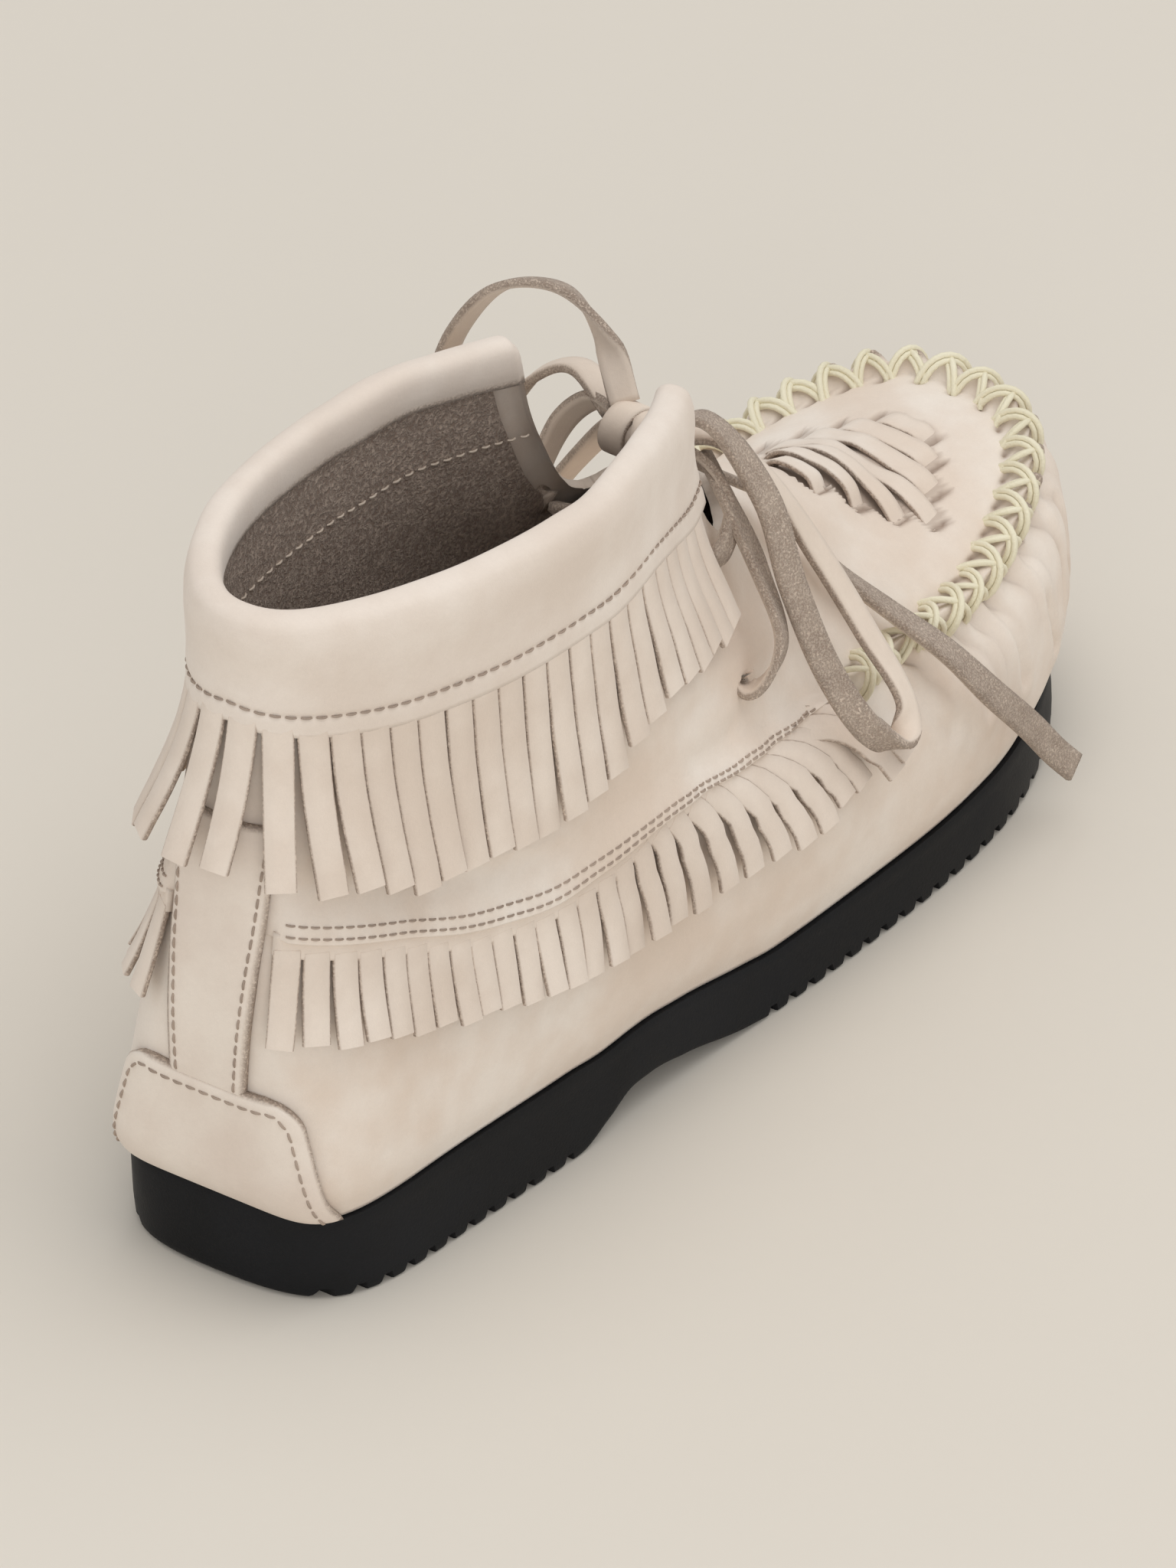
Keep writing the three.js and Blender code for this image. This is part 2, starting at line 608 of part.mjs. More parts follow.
// Cuff and its fringe. A station gives the distance down from the collar's edge and the
// offsets of both sides from the last; a negative drop is above the edge.
const OVERLAY_OUT = FIT_GAP + OVERLAY_THICKNESS;
const INNER_SIDE = -(UPPER_WALL + FIT_GAP);
const LOOSE_GAP = 1.9 * FIT_GAP;
const FRINGE_OUT = LOOSE_GAP + FRINGE_THICKNESS;
const ROLL_DROP = 0.2 * CUFF_BAND;
const FOLD_DROP = 0.44 * CUFF_BAND;
const FLAT_DROP = 0.72 * CUFF_BAND;
const CUFF_STATIONS = [
  { under: [CUFF_TURN_IN, INNER_SIDE], over: [CUFF_TURN_IN, INNER_SIDE - OVERLAY_THICKNESS] },
  { under: [-FIT_GAP, INNER_SIDE], over: [-0.6 * CUFF_ROLL, INNER_SIDE - OVERLAY_THICKNESS] },
  { under: [-FIT_GAP, -UPPER_WALL / 2], over: [-1.7 * CUFF_ROLL, -UPPER_WALL / 2] },
  { under: [-FIT_GAP, FIT_GAP], over: [-CUFF_ROLL, OVERLAY_OUT + 0.4 * CUFF_ROLL] },
  { under: [ROLL_DROP, LOOSE_GAP], over: [0.8 * ROLL_DROP, OVERLAY_OUT + CUFF_ROLL] },
  { under: [FOLD_DROP, LOOSE_GAP], over: [FOLD_DROP, OVERLAY_OUT + 0.3 * CUFF_ROLL] },
  { under: [FLAT_DROP, LOOSE_GAP], over: [FLAT_DROP, FRINGE_OUT] },
  { under: [CUFF_BAND, LOOSE_GAP], over: [CUFF_BAND, FRINGE_OUT] },
  { under: [CUFF_BAND + CUFF_HEADER, LOOSE_GAP], over: [CUFF_BAND + CUFF_HEADER, FRINGE_OUT] },
];
const byTurn = (rows, column) => {
  const curve = smoothThrough(rows.map((row) => row.turn), rows.map((row) => row[column]));
  return (turn) => curve(abs(turn));
};
const cuffDepth = byTurn(CUFF_DEPTHS, "band");
const cuffHang = byTurn(CUFF_DEPTHS, "hang");
function collarPoint(turn, [drop, distance]) {
  if (drop > 0) return offLast(turn, levelBelow(turn, COLLAR, drop * cuffDepth(turn)), distance);
  const edge = offLast(turn, COLLAR, distance);
  edge.z = lastPoint(turn, COLLAR).z - drop;
  return edge;
}
const THROAT_OVERLAP = 4;
function cuffEnd(side) {
  let turn = PI;
  const clear = THROAT_WIDTH / 2 - THROAT_OVERLAP;
  while (side * (lastPoint(side * turn, COLLAR).x - throatCentreX) < clear) turn -= 0.002;
  return side * turn;
}
const signedColumns = COLUMNS.map((turn) => (turn > PI ? turn - TURN : turn)).sort((a, b) => a - b);
function columnsBetween(from, to, every = 1) {
  const clear = 0.01;
  const inside = signedColumns.filter((turn) => turn > from + clear && turn < to - clear);
  const stride = (turn) => Math.round((abs(turn) * STRIDES) / PI);
  return [from, ...inside.filter((turn) => stride(turn) % (2 * every) === 0), to];
}
const cuffBand = sheetSolid(
  columnsBetween(cuffEnd(-1), cuffEnd(1), 2).map((turn) => ({
    under: CUFF_STATIONS.map((station) => collarPoint(turn, station.under)),
    over: CUFF_STATIONS.map((station) => collarPoint(turn, station.over)),
  })),
).subtract(throatCutter);

// One strip of a fringe, hanging from a level and lifting off the last towards its tip. It
// hangs straight down, or squarely to the line that it starts from.
const STRIP_INSET = 0.15;
const STRIP_ROWS = [0, 0.3, 0.65, 1];
function fringeStrip({ turn, from, root, length, width, flare, plumb, standOff = 0 }) {
  const rootLevel = levelBelow(turn, from, root);
  const placeAt = (distance) =>
    (plumb ? downhill(turn, rootLevel, distance) : [turn, levelBelow(turn, from, root + distance)]);
  const sections = STRIP_ROWS.map((share) => {
    const spot = placeAt(length * share);
    const normal = lastNormal(...spot);
    const way = lastPoint(...placeAt(length * share + 1)).sub(lastPoint(...spot));
    const beside = way.cross(normal).normalize();
    const lift = standOff + (flare * share ** 1.3);
    const under = offLast(...spot, LOOSE_GAP + STRIP_INSET + lift);
    const over = offLast(...spot, LOOSE_GAP + FRINGE_THICKNESS - STRIP_INSET + lift);
    const ends = [-width / 2, width / 2];
    return {
      under: ends.map((shift) => under.clone().addScaledVector(beside, shift)),
      over: ends.map((shift) => over.clone().addScaledVector(beside, shift)),
    };
  });
  return sheetSolid(sections);
}

// Turns at even distances along a line of the last
function turnsAlong(lineLevel, from, to, pitch) {
  const samples = spaced(from, to, 240);
  const reach = [0];
  const points = samples.map((turn) => lastPoint(turn, lineLevel(turn)));
  for (let i = 1; i < points.length; i++) reach.push(reach[i - 1] + points[i].distanceTo(points[i - 1]));
  const total = reach[reach.length - 1];
  const count = max(1, Math.round(total / pitch));
  return steps(count).map((i) => {
    const target = (total * (i + 0.5)) / count;
    const k = reach.findIndex((travelled) => travelled >= target);
    const t = (target - reach[k - 1]) / (reach[k] - reach[k - 1]);
    return mix(samples[k - 1], samples[k], t);
  });
}

// A small even spread of shares between 0 and 1 that differs from strip to strip
const scatter = (i) => (i * 0.618034) % 1;

const CUFF_FRINGE_END = 0.9;
const ROOT_OVERLAP = 3;
const cuffStripTurns = turnsAlong(
  (turn) => levelBelow(turn, COLLAR, (CUFF_BAND + CUFF_HEADER) * cuffDepth(turn)),
  cuffEnd(-1) * CUFF_FRINGE_END,
  cuffEnd(1) * CUFF_FRINGE_END,
  CUFF_STRIP_PITCH,
);
const cuffFringe = cuffStripTurns.reduce((solid, turn, i) => {
  const towardsBack = 1 - clamp(abs(turn) / (0.35 * PI), 0, 1);
  return solid.add(fringeStrip({
    turn,
    from: COLLAR,
    root: (CUFF_BAND + CUFF_HEADER) * cuffDepth(turn) - ROOT_OVERLAP,
    length: CUFF_STRIP_LENGTH * cuffHang(turn) + ROOT_OVERLAP - 2 * scatter(i),
    width: CUFF_STRIP_PITCH - STRIP_GAP,
    flare: mix(0.5, 1, towardsBack) * CUFF_STRIP_FLARE + scatter(i),
    plumb: true,
  }));
}, cuffBand);

// Heel tab: a patch over the back of the heel, just above the sole
const TAB_LIFT = 0.8;
const TAB_ROWS = [0, 0.12, 0.25, 0.5, 0.76, 0.9, 1];
const TAB_CORNER = 0.24;
const TAB_POINTS = 30;
const PATCH_LIFT = 0.35;
function patchSection(z, halfWidth, points) {
  const turns = spaced(-halfWidth, halfWidth, points).map((distance) => {
    const level = levelAtHeight(0, z);
    return distance === 0 ? 0 : turnRound(level, distance);
  });
  const levels = turns.map((turn) => levelAtHeight(turn, z));
  return {
    under: turns.map((turn, i) => offLast(turn, levels[i], FIT_GAP + PATCH_LIFT)),
    over: turns.map((turn, i) => offLast(turn, levels[i], OVERLAY_OUT + PATCH_LIFT)),
  };
}
const tabFoot = HEEL_THICKNESS + FIT_GAP + TAB_LIFT;
const heelTab = sheetSolid(
  TAB_ROWS.map((share) => {
    const rounded = clamp((share - (1 - TAB_CORNER)) / TAB_CORNER, 0, 1);
    const halfWidth = mix(HEEL_TAB_FOOT_WIDTH, HEEL_TAB_HEAD_WIDTH, share) / 2;
    const cut = TAB_CORNER * HEEL_TAB_HEIGHT * (1 - Math.sqrt(1 - rounded ** 2));
    return patchSection(tabFoot + share * HEEL_TAB_HEIGHT, halfWidth - cut, TAB_POINTS);
  }),
);

// Backstay: a strip up the back, from the heel tab to beneath the cuff's fringe
const backstayFoot = tabFoot + HEEL_TAB_HEIGHT + 1.5 * FIT_GAP;
const backstayHead = HEEL_THICKNESS + SHAFT_RISE - CUFF_BAND - CUFF_HEADER - 0.66 * CUFF_STRIP_LENGTH;
const backstay = sheetSolid(
  spaced(0, 1, 7).map((share) =>
    patchSection(
      mix(backstayFoot, backstayHead, share),
      mix(BACKSTAY_FOOT_WIDTH, BACKSTAY_HEAD_WIDTH, share) / 2,
      6,
    ),
  ),
);

// Side fringes, one on each side, hanging from the side seam between backstay and apron
const SIDE_FRINGE_END_Y = SEAM_START_Y - 6;
const seamFall = byTurn(SIDE_SEAM, "fall");
const sideHang = byTurn(SIDE_SEAM, "hang");
const sideLift = byTurn(SIDE_SEAM, "lift");
function sideFringe(side) {
  const start = turnRound(SEAM, side * (BACKSTAY_HEAD_WIDTH / 2 + 2 * FIT_GAP));
  const end = turnAtY(SEAM, SIDE_FRINGE_END_Y, side);
  const drops = [0, SIDE_HEADER / 2, SIDE_HEADER];
  const levelsAt = (turn) =>
    drops.map((drop) => levelBelow(turn, COLLAR, SHAFT_RISE * seamFall(turn) + drop));
  const turns = side > 0 ? columnsBetween(start, end) : columnsBetween(end, start);
  const liftAt = (turn) => FRINGE_THICKNESS * sideLift(turn);
  const header = sheetSolid(
    turns.map((turn) => ({
      under: levelsAt(turn).map((level) => offLast(turn, level, LOOSE_GAP + liftAt(turn))),
      over: levelsAt(turn).map((level) => offLast(turn, level, FRINGE_OUT + liftAt(turn))),
    })),
  );
  const stripTurns = turnsAlong(
    (turn) => levelBelow(turn, COLLAR, SHAFT_RISE * seamFall(turn) + SIDE_HEADER),
    start,
    end,
    SIDE_STRIP_PITCH,
  );
  return stripTurns.reduce((solid, turn, i) => solid.add(fringeStrip({
    turn,
    from: COLLAR,
    root: SHAFT_RISE * seamFall(turn) + SIDE_HEADER - ROOT_OVERLAP,
    length: SIDE_STRIP_LENGTH * sideHang(turn) + ROOT_OVERLAP - 1.5 * scatter(i),
    width: SIDE_STRIP_PITCH - STRIP_GAP,
    flare: SIDE_STRIP_FLARE + scatter(i),
    standOff: liftAt(turn),
  })), header);
}

// Flat lace: a ribbon with softened edges along a path. faces lists the way its wide side
// looks at the path's points.
function ribbon(points, faces, count) {
  const path = new THREE.CatmullRomCurve3(points, false, "centripetal");
  const looks = new THREE.CatmullRomCurve3(faces, false, "centripetal");
  const [w, t] = [LACE_WIDTH / 2, LACE_THICKNESS / 2];
  const outline = [[w, 0.4 * t], [0.85 * w, t], [-0.85 * w, t], [-w, 0.4 * t],
    [-w, -0.4 * t], [-0.85 * w, -t], [0.85 * w, -t], [w, -0.4 * t]];
  const rings = spaced(0, 1, count).map((share) => {
    const centre = path.getPoint(share);
    const along = path.getTangent(share);
    const look = looks.getPoint(share);
    const face = look.addScaledVector(along, -look.dot(along)).normalize();
    const across = along.clone().cross(face);
    return outline.map(([a, b]) =>
      centre.clone().addScaledVector(across, a).addScaledVector(face, b));
  });
  return solidOf(ringGeometry(rings));
}
const at = (x, y, z) => new THREE.Vector3(x, y, z);

// Crossings: the lace's bars across the throat, inside the shoe and clear of the leather
const CROSSING_INSET = UPPER_WALL + 0.85 * LACE_THICKNESS;
const crossingEnds = eyeletSeats.map(({ centre, normal }) =>
  centre.clone().addScaledVector(normal, -CROSSING_INSET));
const [lowerRight, lowerLeft, upperRight, upperLeft] = crossingEnds;
const upAndOut = at(0, 0.6, 0.8);
const bar = (from, to) => ribbon([from, to], [upAndOut, upAndOut], 2);
const laceCrossings = [
  bar(lowerLeft, upperRight),
  bar(lowerRight, upperLeft),
  bar(upperLeft, upperRight),
  bar(lowerLeft, lowerRight),
].reduce((solid, piece) => solid.add(piece));

// Knot and bow: places on the laces' middle lines, and the way their wide side looks there
const KNOT_SIZE = { across: 13, along: 10.5, high: 11.2 };
const KNOT_PLACE = [2, 106, 118];
const laceKnot = solidOf(
  new THREE.SphereGeometry(0.5, 12, 8)
    .scale(KNOT_SIZE.across, KNOT_SIZE.along, KNOT_SIZE.high)
    .translate(...KNOT_PLACE),
);
const knotSeat = (...way) => {
  const { across, along, high } = KNOT_SIZE;
  const reach = 1 / hypot(way[0] / (across / 2), way[1] / (along / 2), way[2] / (high / 2));
  const out = reach + FIT_GAP / hypot(...way);
  return KNOT_PLACE.map((middle, i) => middle + out * way[i]);
};
const LOOP_RIGHT = [
  { place: knotSeat(0.9, 0.2, 0.5), look: [-0.4, 0.3, 1] },
  { place: [15, 110, 124], look: [0.1, 0.3, 1] },
  { place: [26, 114.5, 108], look: [1, -0.2, 0.7] },
  { place: [33, 114, 90], look: [1, -0.3, 0.4] },
  { place: [40, 117, 70], look: [1, -0.3, 0.2] },
  { place: [46.5, 121.5, 57], look: [0.9, -0.6, -0.2] },
  { place: [49, 127, 52.5], look: [0.3, 0, -1] },
  { place: [47, 132.5, 57], look: [-0.7, -0.4, -0.8] },
  { place: [36.5, 133, 71], look: [-1, -0.2, -0.4] },
  { place: [28, 129, 88], look: [-1, -0.2, -0.5] },
  { place: [20.5, 121.5, 107], look: [-0.8, -0.5, -0.8] },
  { place: [13.5, 115, 117], look: [-0.3, -0.3, -1] },
  { place: knotSeat(1, 0.5, -0.05), look: [0, -0.2, -1] },
];
const LOOP_LEFT = [
  { place: knotSeat(-0.6, 0.2, 0.8), look: [-0.8, 0.5, 0.6] },
  { place: [-8, 109.5, 134.5], look: [-0.6, 0.6, 1] },
  { place: [-17, 109, 142], look: [0, 0.6, 1] },
  { place: [-29, 106, 140], look: [-0.8, 0.3, 0.8] },
  { place: [-38, 104, 128], look: [-1, 0.2, 0.3] },
  { place: [-43, 104, 112], look: [-1, 0.1, 0] },
  { place: [-44, 107, 99], look: [-0.6, 0.4, -0.6] },
  { place: [-41, 112.5, 96], look: [0.3, 0.2, -1] },
  { place: [-37, 116.5, 101], look: [1, 0, -0.6] },
  { place: [-29, 117, 113], look: [0.7, 0, -1] },
  { place: [-17, 114.5, 121], look: [0.2, -0.3, -1] },
  { place: knotSeat(-1, 0.35, 0.1), look: [0, -0.3, -1] },
];
const END_RIGHT = [
  { place: knotSeat(0.1, 0.8, -0.75), look: [0, 0.8, 0.7] },
  { place: [6, 119, 105.5], look: [0.1, 0.8, 0.8] },
  { place: [10, 125, 100], look: [0.1, 0.7, 0.8] },
  { place: [13.5, 131, 94.5], look: [0.1, 0.7, 0.8] },
  { place: [17, 139.5, 82.5], look: [0.2, 0.6, 0.9] },
  { place: [23, 145.5, 71], look: [0.3, 0.5, 1] },
  { place: [32, 150.5, 62.5], look: [0.5, 0.4, 1] },
  { place: [40.5, 155, 55], look: [0.8, 0.3, 0.7] },
  { place: [46.5, 162, 43.5], look: [1, 0.1, 0.3] },
  { place: [48, 173, 30], look: [1, 0, 0.2] },
  { place: [48.5, 181.5, 19], look: [1, 0, 0.1] },
  { place: [49.5, 186, 13.5], look: [1, 0, 0.1] },
];
const END_LEFT = [
  { place: knotSeat(-0.9, 0.5, -0.5), look: [0, 0.7, 0.7] },
  { place: [-10, 117, 109], look: [-0.2, 0.7, 0.8] },
  { place: [-19, 124, 99], look: [-0.6, 0.5, 0.8] },
  { place: [-30, 128, 84], look: [-1, 0.4, 0.5] },
  { place: [-39, 130, 70], look: [-1, 0.3, 0.4] },
  { place: [-47.5, 130, 58], look: [-1, 0.1, 0.3] },
  { place: [-54, 129, 44], look: [-1, 0, 0.2] },
];
const cordRibbon = (path, count) =>
  ribbon(path.map(({ place }) => at(...place)), path.map(({ look }) => at(...look)), count);

const skin = (name, solid, colour) => {
  const material = new THREE.MeshStandardMaterial({ color: colour, roughness: 0.9, metalness: 0 });
  const mesh = new THREE.Mesh(geometryFrom(solid), material);
  mesh.name = name;
  return mesh;
};
const shoe = new THREE.Group();
shoe.name = "moccasin_boot";
shoe.add(
  skin("outsole", outsole, 0x21201f),
  skin("insole", insole, 0x6f6053),
  skin("upper", upper, 0xd6c8ba),
  skin("cuff_fringe", cuffFringe, 0xdcccbd),
  skin("side_fringe_right", sideFringe(1), 0xd3c5b8),
  skin("side_fringe_left", sideFringe(-1), 0xd3c5b8),
  skin("backstay", backstay, 0xd4c6b7),
  skin("heel_tab", heelTab, 0xd3c5ba),
  skin("lace_crossings", laceCrossings, 0xcab9aa),
  skin("lace_knot", laceKnot, 0xcab9aa),
  skin("lace_loop_right", cordRibbon(LOOP_RIGHT, 32), 0xcab9aa),
  skin("lace_loop_left", cordRibbon(LOOP_LEFT, 32), 0xcab9aa),
  skin("lace_end_right", cordRibbon(END_RIGHT, 26), 0xcab9aa),
  skin("lace_end_left", cordRibbon(END_LEFT, 18), 0xcab9aa),
);
export default shoe;
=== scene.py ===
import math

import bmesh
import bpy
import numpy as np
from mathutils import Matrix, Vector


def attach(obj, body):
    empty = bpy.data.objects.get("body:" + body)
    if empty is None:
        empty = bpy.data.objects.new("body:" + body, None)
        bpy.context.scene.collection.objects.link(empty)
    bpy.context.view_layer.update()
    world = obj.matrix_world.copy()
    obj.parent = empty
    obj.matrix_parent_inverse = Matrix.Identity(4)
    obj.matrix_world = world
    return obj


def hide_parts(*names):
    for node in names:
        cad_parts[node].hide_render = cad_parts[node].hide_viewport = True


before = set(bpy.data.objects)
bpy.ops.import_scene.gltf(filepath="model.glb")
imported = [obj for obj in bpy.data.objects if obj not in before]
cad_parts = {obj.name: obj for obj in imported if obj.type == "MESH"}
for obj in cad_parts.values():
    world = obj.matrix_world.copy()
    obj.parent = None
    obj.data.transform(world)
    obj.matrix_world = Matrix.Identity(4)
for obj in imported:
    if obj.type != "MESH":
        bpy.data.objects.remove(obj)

# %% [markdown]
# # A fringed moccasin boot
# The object is one right ankle boot of pale nubuck leather, with a rolled and fringed cuff, a
# fringe along each side, a laced apron over the toes and a black rubber sole. The CAD model is
# loaded as a fixed frame, and every soft solid in it gets a finer piece here. All pieces are
# worked out in millimetres and made in metres.

MM = 0.001
PI = math.pi
TURN = 2 * PI
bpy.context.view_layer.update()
print("frame nodes:", sorted(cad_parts))

# %% [markdown]
# ## The last
# A shoe is built on a last, a solid form of the foot, so every piece of leather here is laid on
# the same smooth surface. It could be modelled by hand, but then each piece would need fitting.
# A function of a turn round the foot and a level up the leg gives every piece its place. A turn
# starts at the back of the heel and grows along the outer side. A level is a row of the table
# below, which has the same ten rows as the CAD source has, as shares of three sizes.

# %% The sizes and the rows of the last
SHOE_LENGTH = 268
BALL_WIDTH = 92
SHAFT_RISE = 126
ORIGIN_FROM_BACK = 34
FIT_GAP = 0.3
LEVEL_COLUMNS = ("back", "front", "back_rise", "ball_rise", "front_rise",
                 "heel", "waist", "ball", "toe", "heel_square", "toe_square")
LEVELS = {
    "feather": (0.02, 0.968, 0, 0, 0, 0.61, 0.69, 0.93, 0.95, 8, 2.8),
    "bulge": (0.008, 0.995, 0.09, 0.08, 0.09, 0.65, 0.75, 0.99, 1.0, 6.5, 2.8),
    "wall": (0.008, 1.0, 0.24, 0.18, 0.21, 0.66, 0.77, 1.0, 0.99, 4.5, 2.7),
    "shoulder": (0.012, 0.986, 0.4, 0.27, 0.31, 0.65, 0.76, 0.9, 0.88, 3.4, 2.6),
    "seam": (0.018, 0.964, 0.5, 0.31, 0.345, 0.63, 0.74, 0.83, 0.83, 3, 2.6),
    "apron": (0.024, 0.88, 0.6, 0.38, 0.385, 0.62, 0.71, 0.68, 0.6, 2.8, 2.3),
    "vamp": (0.03, 0.78, 0.68, 0.49, 0.46, 0.6, 0.68, 0.58, 0.42, 2.6, 2.2),
    "instep": (0.035, 0.67, 0.77, 0.62, 0.58, 0.58, 0.65, 0.54, 0.4, 2.4, 2.2),
    "ankle": (0.04, 0.58, 0.88, 0.82, 0.78, 0.56, 0.63, 0.54, 0.42, 2.3, 2.2),
    "collar": (0.047, 0.55, 1.0, 0.98, 0.97, 0.56, 0.63, 0.54, 0.42, 2.2, 2.2),
}
SEAM = list(LEVELS).index("seam")
COLLAR = list(LEVELS).index("collar")
WIDTH_STATIONS = (0, 0.4, 0.74, 1)
RISE_STATIONS = (0, 0.7, 1)
# share of the length, then the sideways bend of the foot's middle in shares of BALL_WIDTH
CENTRE_LINE = ((0, 0), (0.12, 0), (0.31, 0.03), (0.5, 0.01), (0.71, -0.035), (0.87, -0.03),
               (1, -0.05))
# share of the length, height of the sole's underside, thickness of the sole
SOLE_PROFILE = ((0, 1.2, 17.8), (0.05, 0, 19), (0.27, 0, 19), (0.31, 3.75, 14.5), (0.345, 7.5, 11),
                (0.4, 5.625, 11.5), (0.48, 0.75, 13), (0.52, 0, 13), (0.76, 0, 13), (0.88, 2.1, 13),
                (1, 7, 11))


# %% Smooth curves through the tables
def smooth_through(stations, values):
    """A curve through values at rising stations, flat beyond its ends, with no overshoot."""
    s, v = np.asarray(stations, float), np.asarray(values, float)
    slope = np.diff(v) / np.diff(s)
    tangent = np.concatenate([slope[:1], np.zeros(len(v) - 2), slope[-1:]])
    a, b = slope[:-1], slope[1:]
    same = a * b > 0
    tangent[1:-1] = np.where(same, 2 * a * b / np.where(same, a + b, 1), 0)

    def curve(at):
        x = np.clip(at, s[0], s[-1])
        i = np.clip(np.searchsorted(s, x, side="left") - 1, 0, len(s) - 2)
        width = s[i + 1] - s[i]
        t = (x - s[i]) / width
        near = v[i] + t * width * tangent[i]
        far = v[i + 1] - (1 - t) * width * tangent[i + 1]
        return near + (far - near) * t * t * (3 - 2 * t)

    return curve


def ease(t):
    """0 below 0, 1 above 1, and a smooth rise between."""
    t = np.clip(t, 0, 1)
    return t * t * (3 - 2 * t)


def unit(v):
    return v / np.maximum(np.linalg.norm(v, axis=-1, keepdims=True), 1e-9)


def column(table, index):
    return [row[index] for row in table]


centre_shift = smooth_through(column(CENTRE_LINE, 0), column(CENTRE_LINE, 1))
sole_under = smooth_through(column(SOLE_PROFILE, 0), column(SOLE_PROFILE, 1))
sole_thick = smooth_through(column(SOLE_PROFILE, 0), column(SOLE_PROFILE, 2))
level_curves = {name: smooth_through(range(len(LEVELS)), column(LEVELS.values(), i))
                for i, name in enumerate(LEVEL_COLUMNS)}


def share_at(y):
    return np.clip((y + ORIGIN_FROM_BACK) / SHOE_LENGTH, 0, 1)


def under_at(y):
    return sole_under(share_at(y))


def sole_top_at(y):
    return under_at(y) + sole_thick(share_at(y))


# %% The surface of the last as a table of points and normals
HALF_STRIDES = 256
RING = 2 * HALF_STRIDES
ROWS_PER_LEVEL = 20


def reach_along(path):
    """How far each point of a path lies from its start, along it."""
    return np.concatenate([[0], np.cumsum(np.linalg.norm(np.diff(path, axis=0), axis=1))])


def evenly(path, count):
    """A path resampled at even strides."""
    reach = reach_along(path)
    target = np.linspace(0, reach[-1], count)
    return np.stack([np.interp(target, reach, path[:, k]) for k in range(3)], axis=1)


def measured_ring(level):
    """One loop round the foot, from the back of the heel along the outer side first."""
    row = {name: float(curve(level)) for name, curve in level_curves.items()}
    share = (1 - np.cos(np.linspace(0, PI, 2 * HALF_STRIDES + 1))) / 2
    square = row["heel_square"] + (row["toe_square"] - row["heel_square"]) * ease(share)
    fullness = np.maximum(0, 1 - np.abs(2 * share - 1) ** square) ** (1 / square)
    y = SHOE_LENGTH * (row["back"] + (row["front"] - row["back"]) * share) - ORIGIN_FROM_BACK
    widths = smooth_through(WIDTH_STATIONS, [row[k] for k in ("heel", "waist", "ball", "toe")])
    rises = smooth_through(RISE_STATIONS, [row[k] for k in ("back_rise", "ball_rise", "front_rise")])
    half = BALL_WIDTH / 2 * widths(share) * fullness
    z = sole_top_at(y) + FIT_GAP + SHAFT_RISE * rises(share)
    middle = BALL_WIDTH * centre_shift(share_at(y))
    outer, inner = (evenly(np.stack([middle + side * half, y, z], axis=1), HALF_STRIDES + 1)
                    for side in (1, -1))
    return np.concatenate([outer[:-1], inner[:0:-1]])


last_rows = np.stack([measured_ring(level)
                      for level in np.linspace(0, COLLAR, ROWS_PER_LEVEL * COLLAR + 1)])
along_ring = np.roll(last_rows, -1, axis=1) - np.roll(last_rows, 1, axis=1)
last_normals = unit(np.cross(along_ring, np.gradient(last_rows, axis=0)))
print("last:", last_rows.shape, "reaches", last_rows.reshape(-1, 3).max(0).round(1))


def sample(table, turn, level):
    """A table of the last, read between its rows."""
    turn, level = np.broadcast_arrays(np.asarray(turn, float), np.asarray(level, float))
    u = (turn % TURN) / TURN * RING
    i = np.floor(u).astype(int)
    f = (u - i)[..., None]
    w = np.clip(level, 0, COLLAR) * ROWS_PER_LEVEL
    k = np.minimum(np.floor(w).astype(int), len(table) - 2)
    g = (w - k)[..., None]
    i, j = i % RING, (i + 1) % RING
    low = table[k, i] * (1 - f) + table[k, j] * f
    high = table[k + 1, i] * (1 - f) + table[k + 1, j] * f
    return low * (1 - g) + high * g


def last_point(turn, level):
    return sample(last_rows, turn, level)


def last_normal(turn, level):
    return unit(sample(last_normals, turn, level))


def off_last(turn, level, distance):
    """A point off the last by a distance, outwards where it is positive."""
    return last_point(turn, level) + last_normal(turn, level) * np.asarray(distance, float)[..., None]


# %% Walks over the last
WALK_STEPS = 240
SEARCH_STEPS = 1024
HALVINGS = 22


def level_below(turn, start, drop):
    """The level that lies a distance down the leather from another level."""
    turn, start, drop = np.broadcast_arrays(*(np.asarray(a, float) for a in (turn, start, drop)))
    levels = start[..., None] * np.linspace(1, 0, WALK_STEPS + 1)
    points = last_point(turn[..., None], levels)
    strides = np.linalg.norm(np.diff(points, axis=-2), axis=-1)
    reach = np.concatenate([np.zeros(strides.shape[:-1] + (1,)), np.cumsum(strides, -1)], -1)
    walks = zip(drop.ravel(), reach.reshape(-1, WALK_STEPS + 1), levels.reshape(-1, WALK_STEPS + 1))
    return np.array([np.interp(far, *walk) for far, *walk in walks]).reshape(drop.shape)


def level_at_height(turn, z):
    """The level at a height over the floor, closed in on by halves."""
    turn, z = np.broadcast_arrays(np.asarray(turn, float), np.asarray(z, float))
    low, high = np.zeros(turn.shape), np.full(turn.shape, float(COLLAR))
    for _ in range(HALVINGS):
        middle = (low + high) / 2
        below = last_point(turn, middle)[..., 2] < z
        low, high = np.where(below, middle, low), np.where(below, high, middle)
    return low


def turn_round(level, distance):
    """The turn a distance round the leather from the back of the heel, outer side positive."""
    turns = np.linspace(-PI, PI, SEARCH_STEPS + 1)
    reach = reach_along(last_point(turns, level))
    return np.interp(np.asarray(distance, float) + np.interp(0, turns, reach), reach, turns)


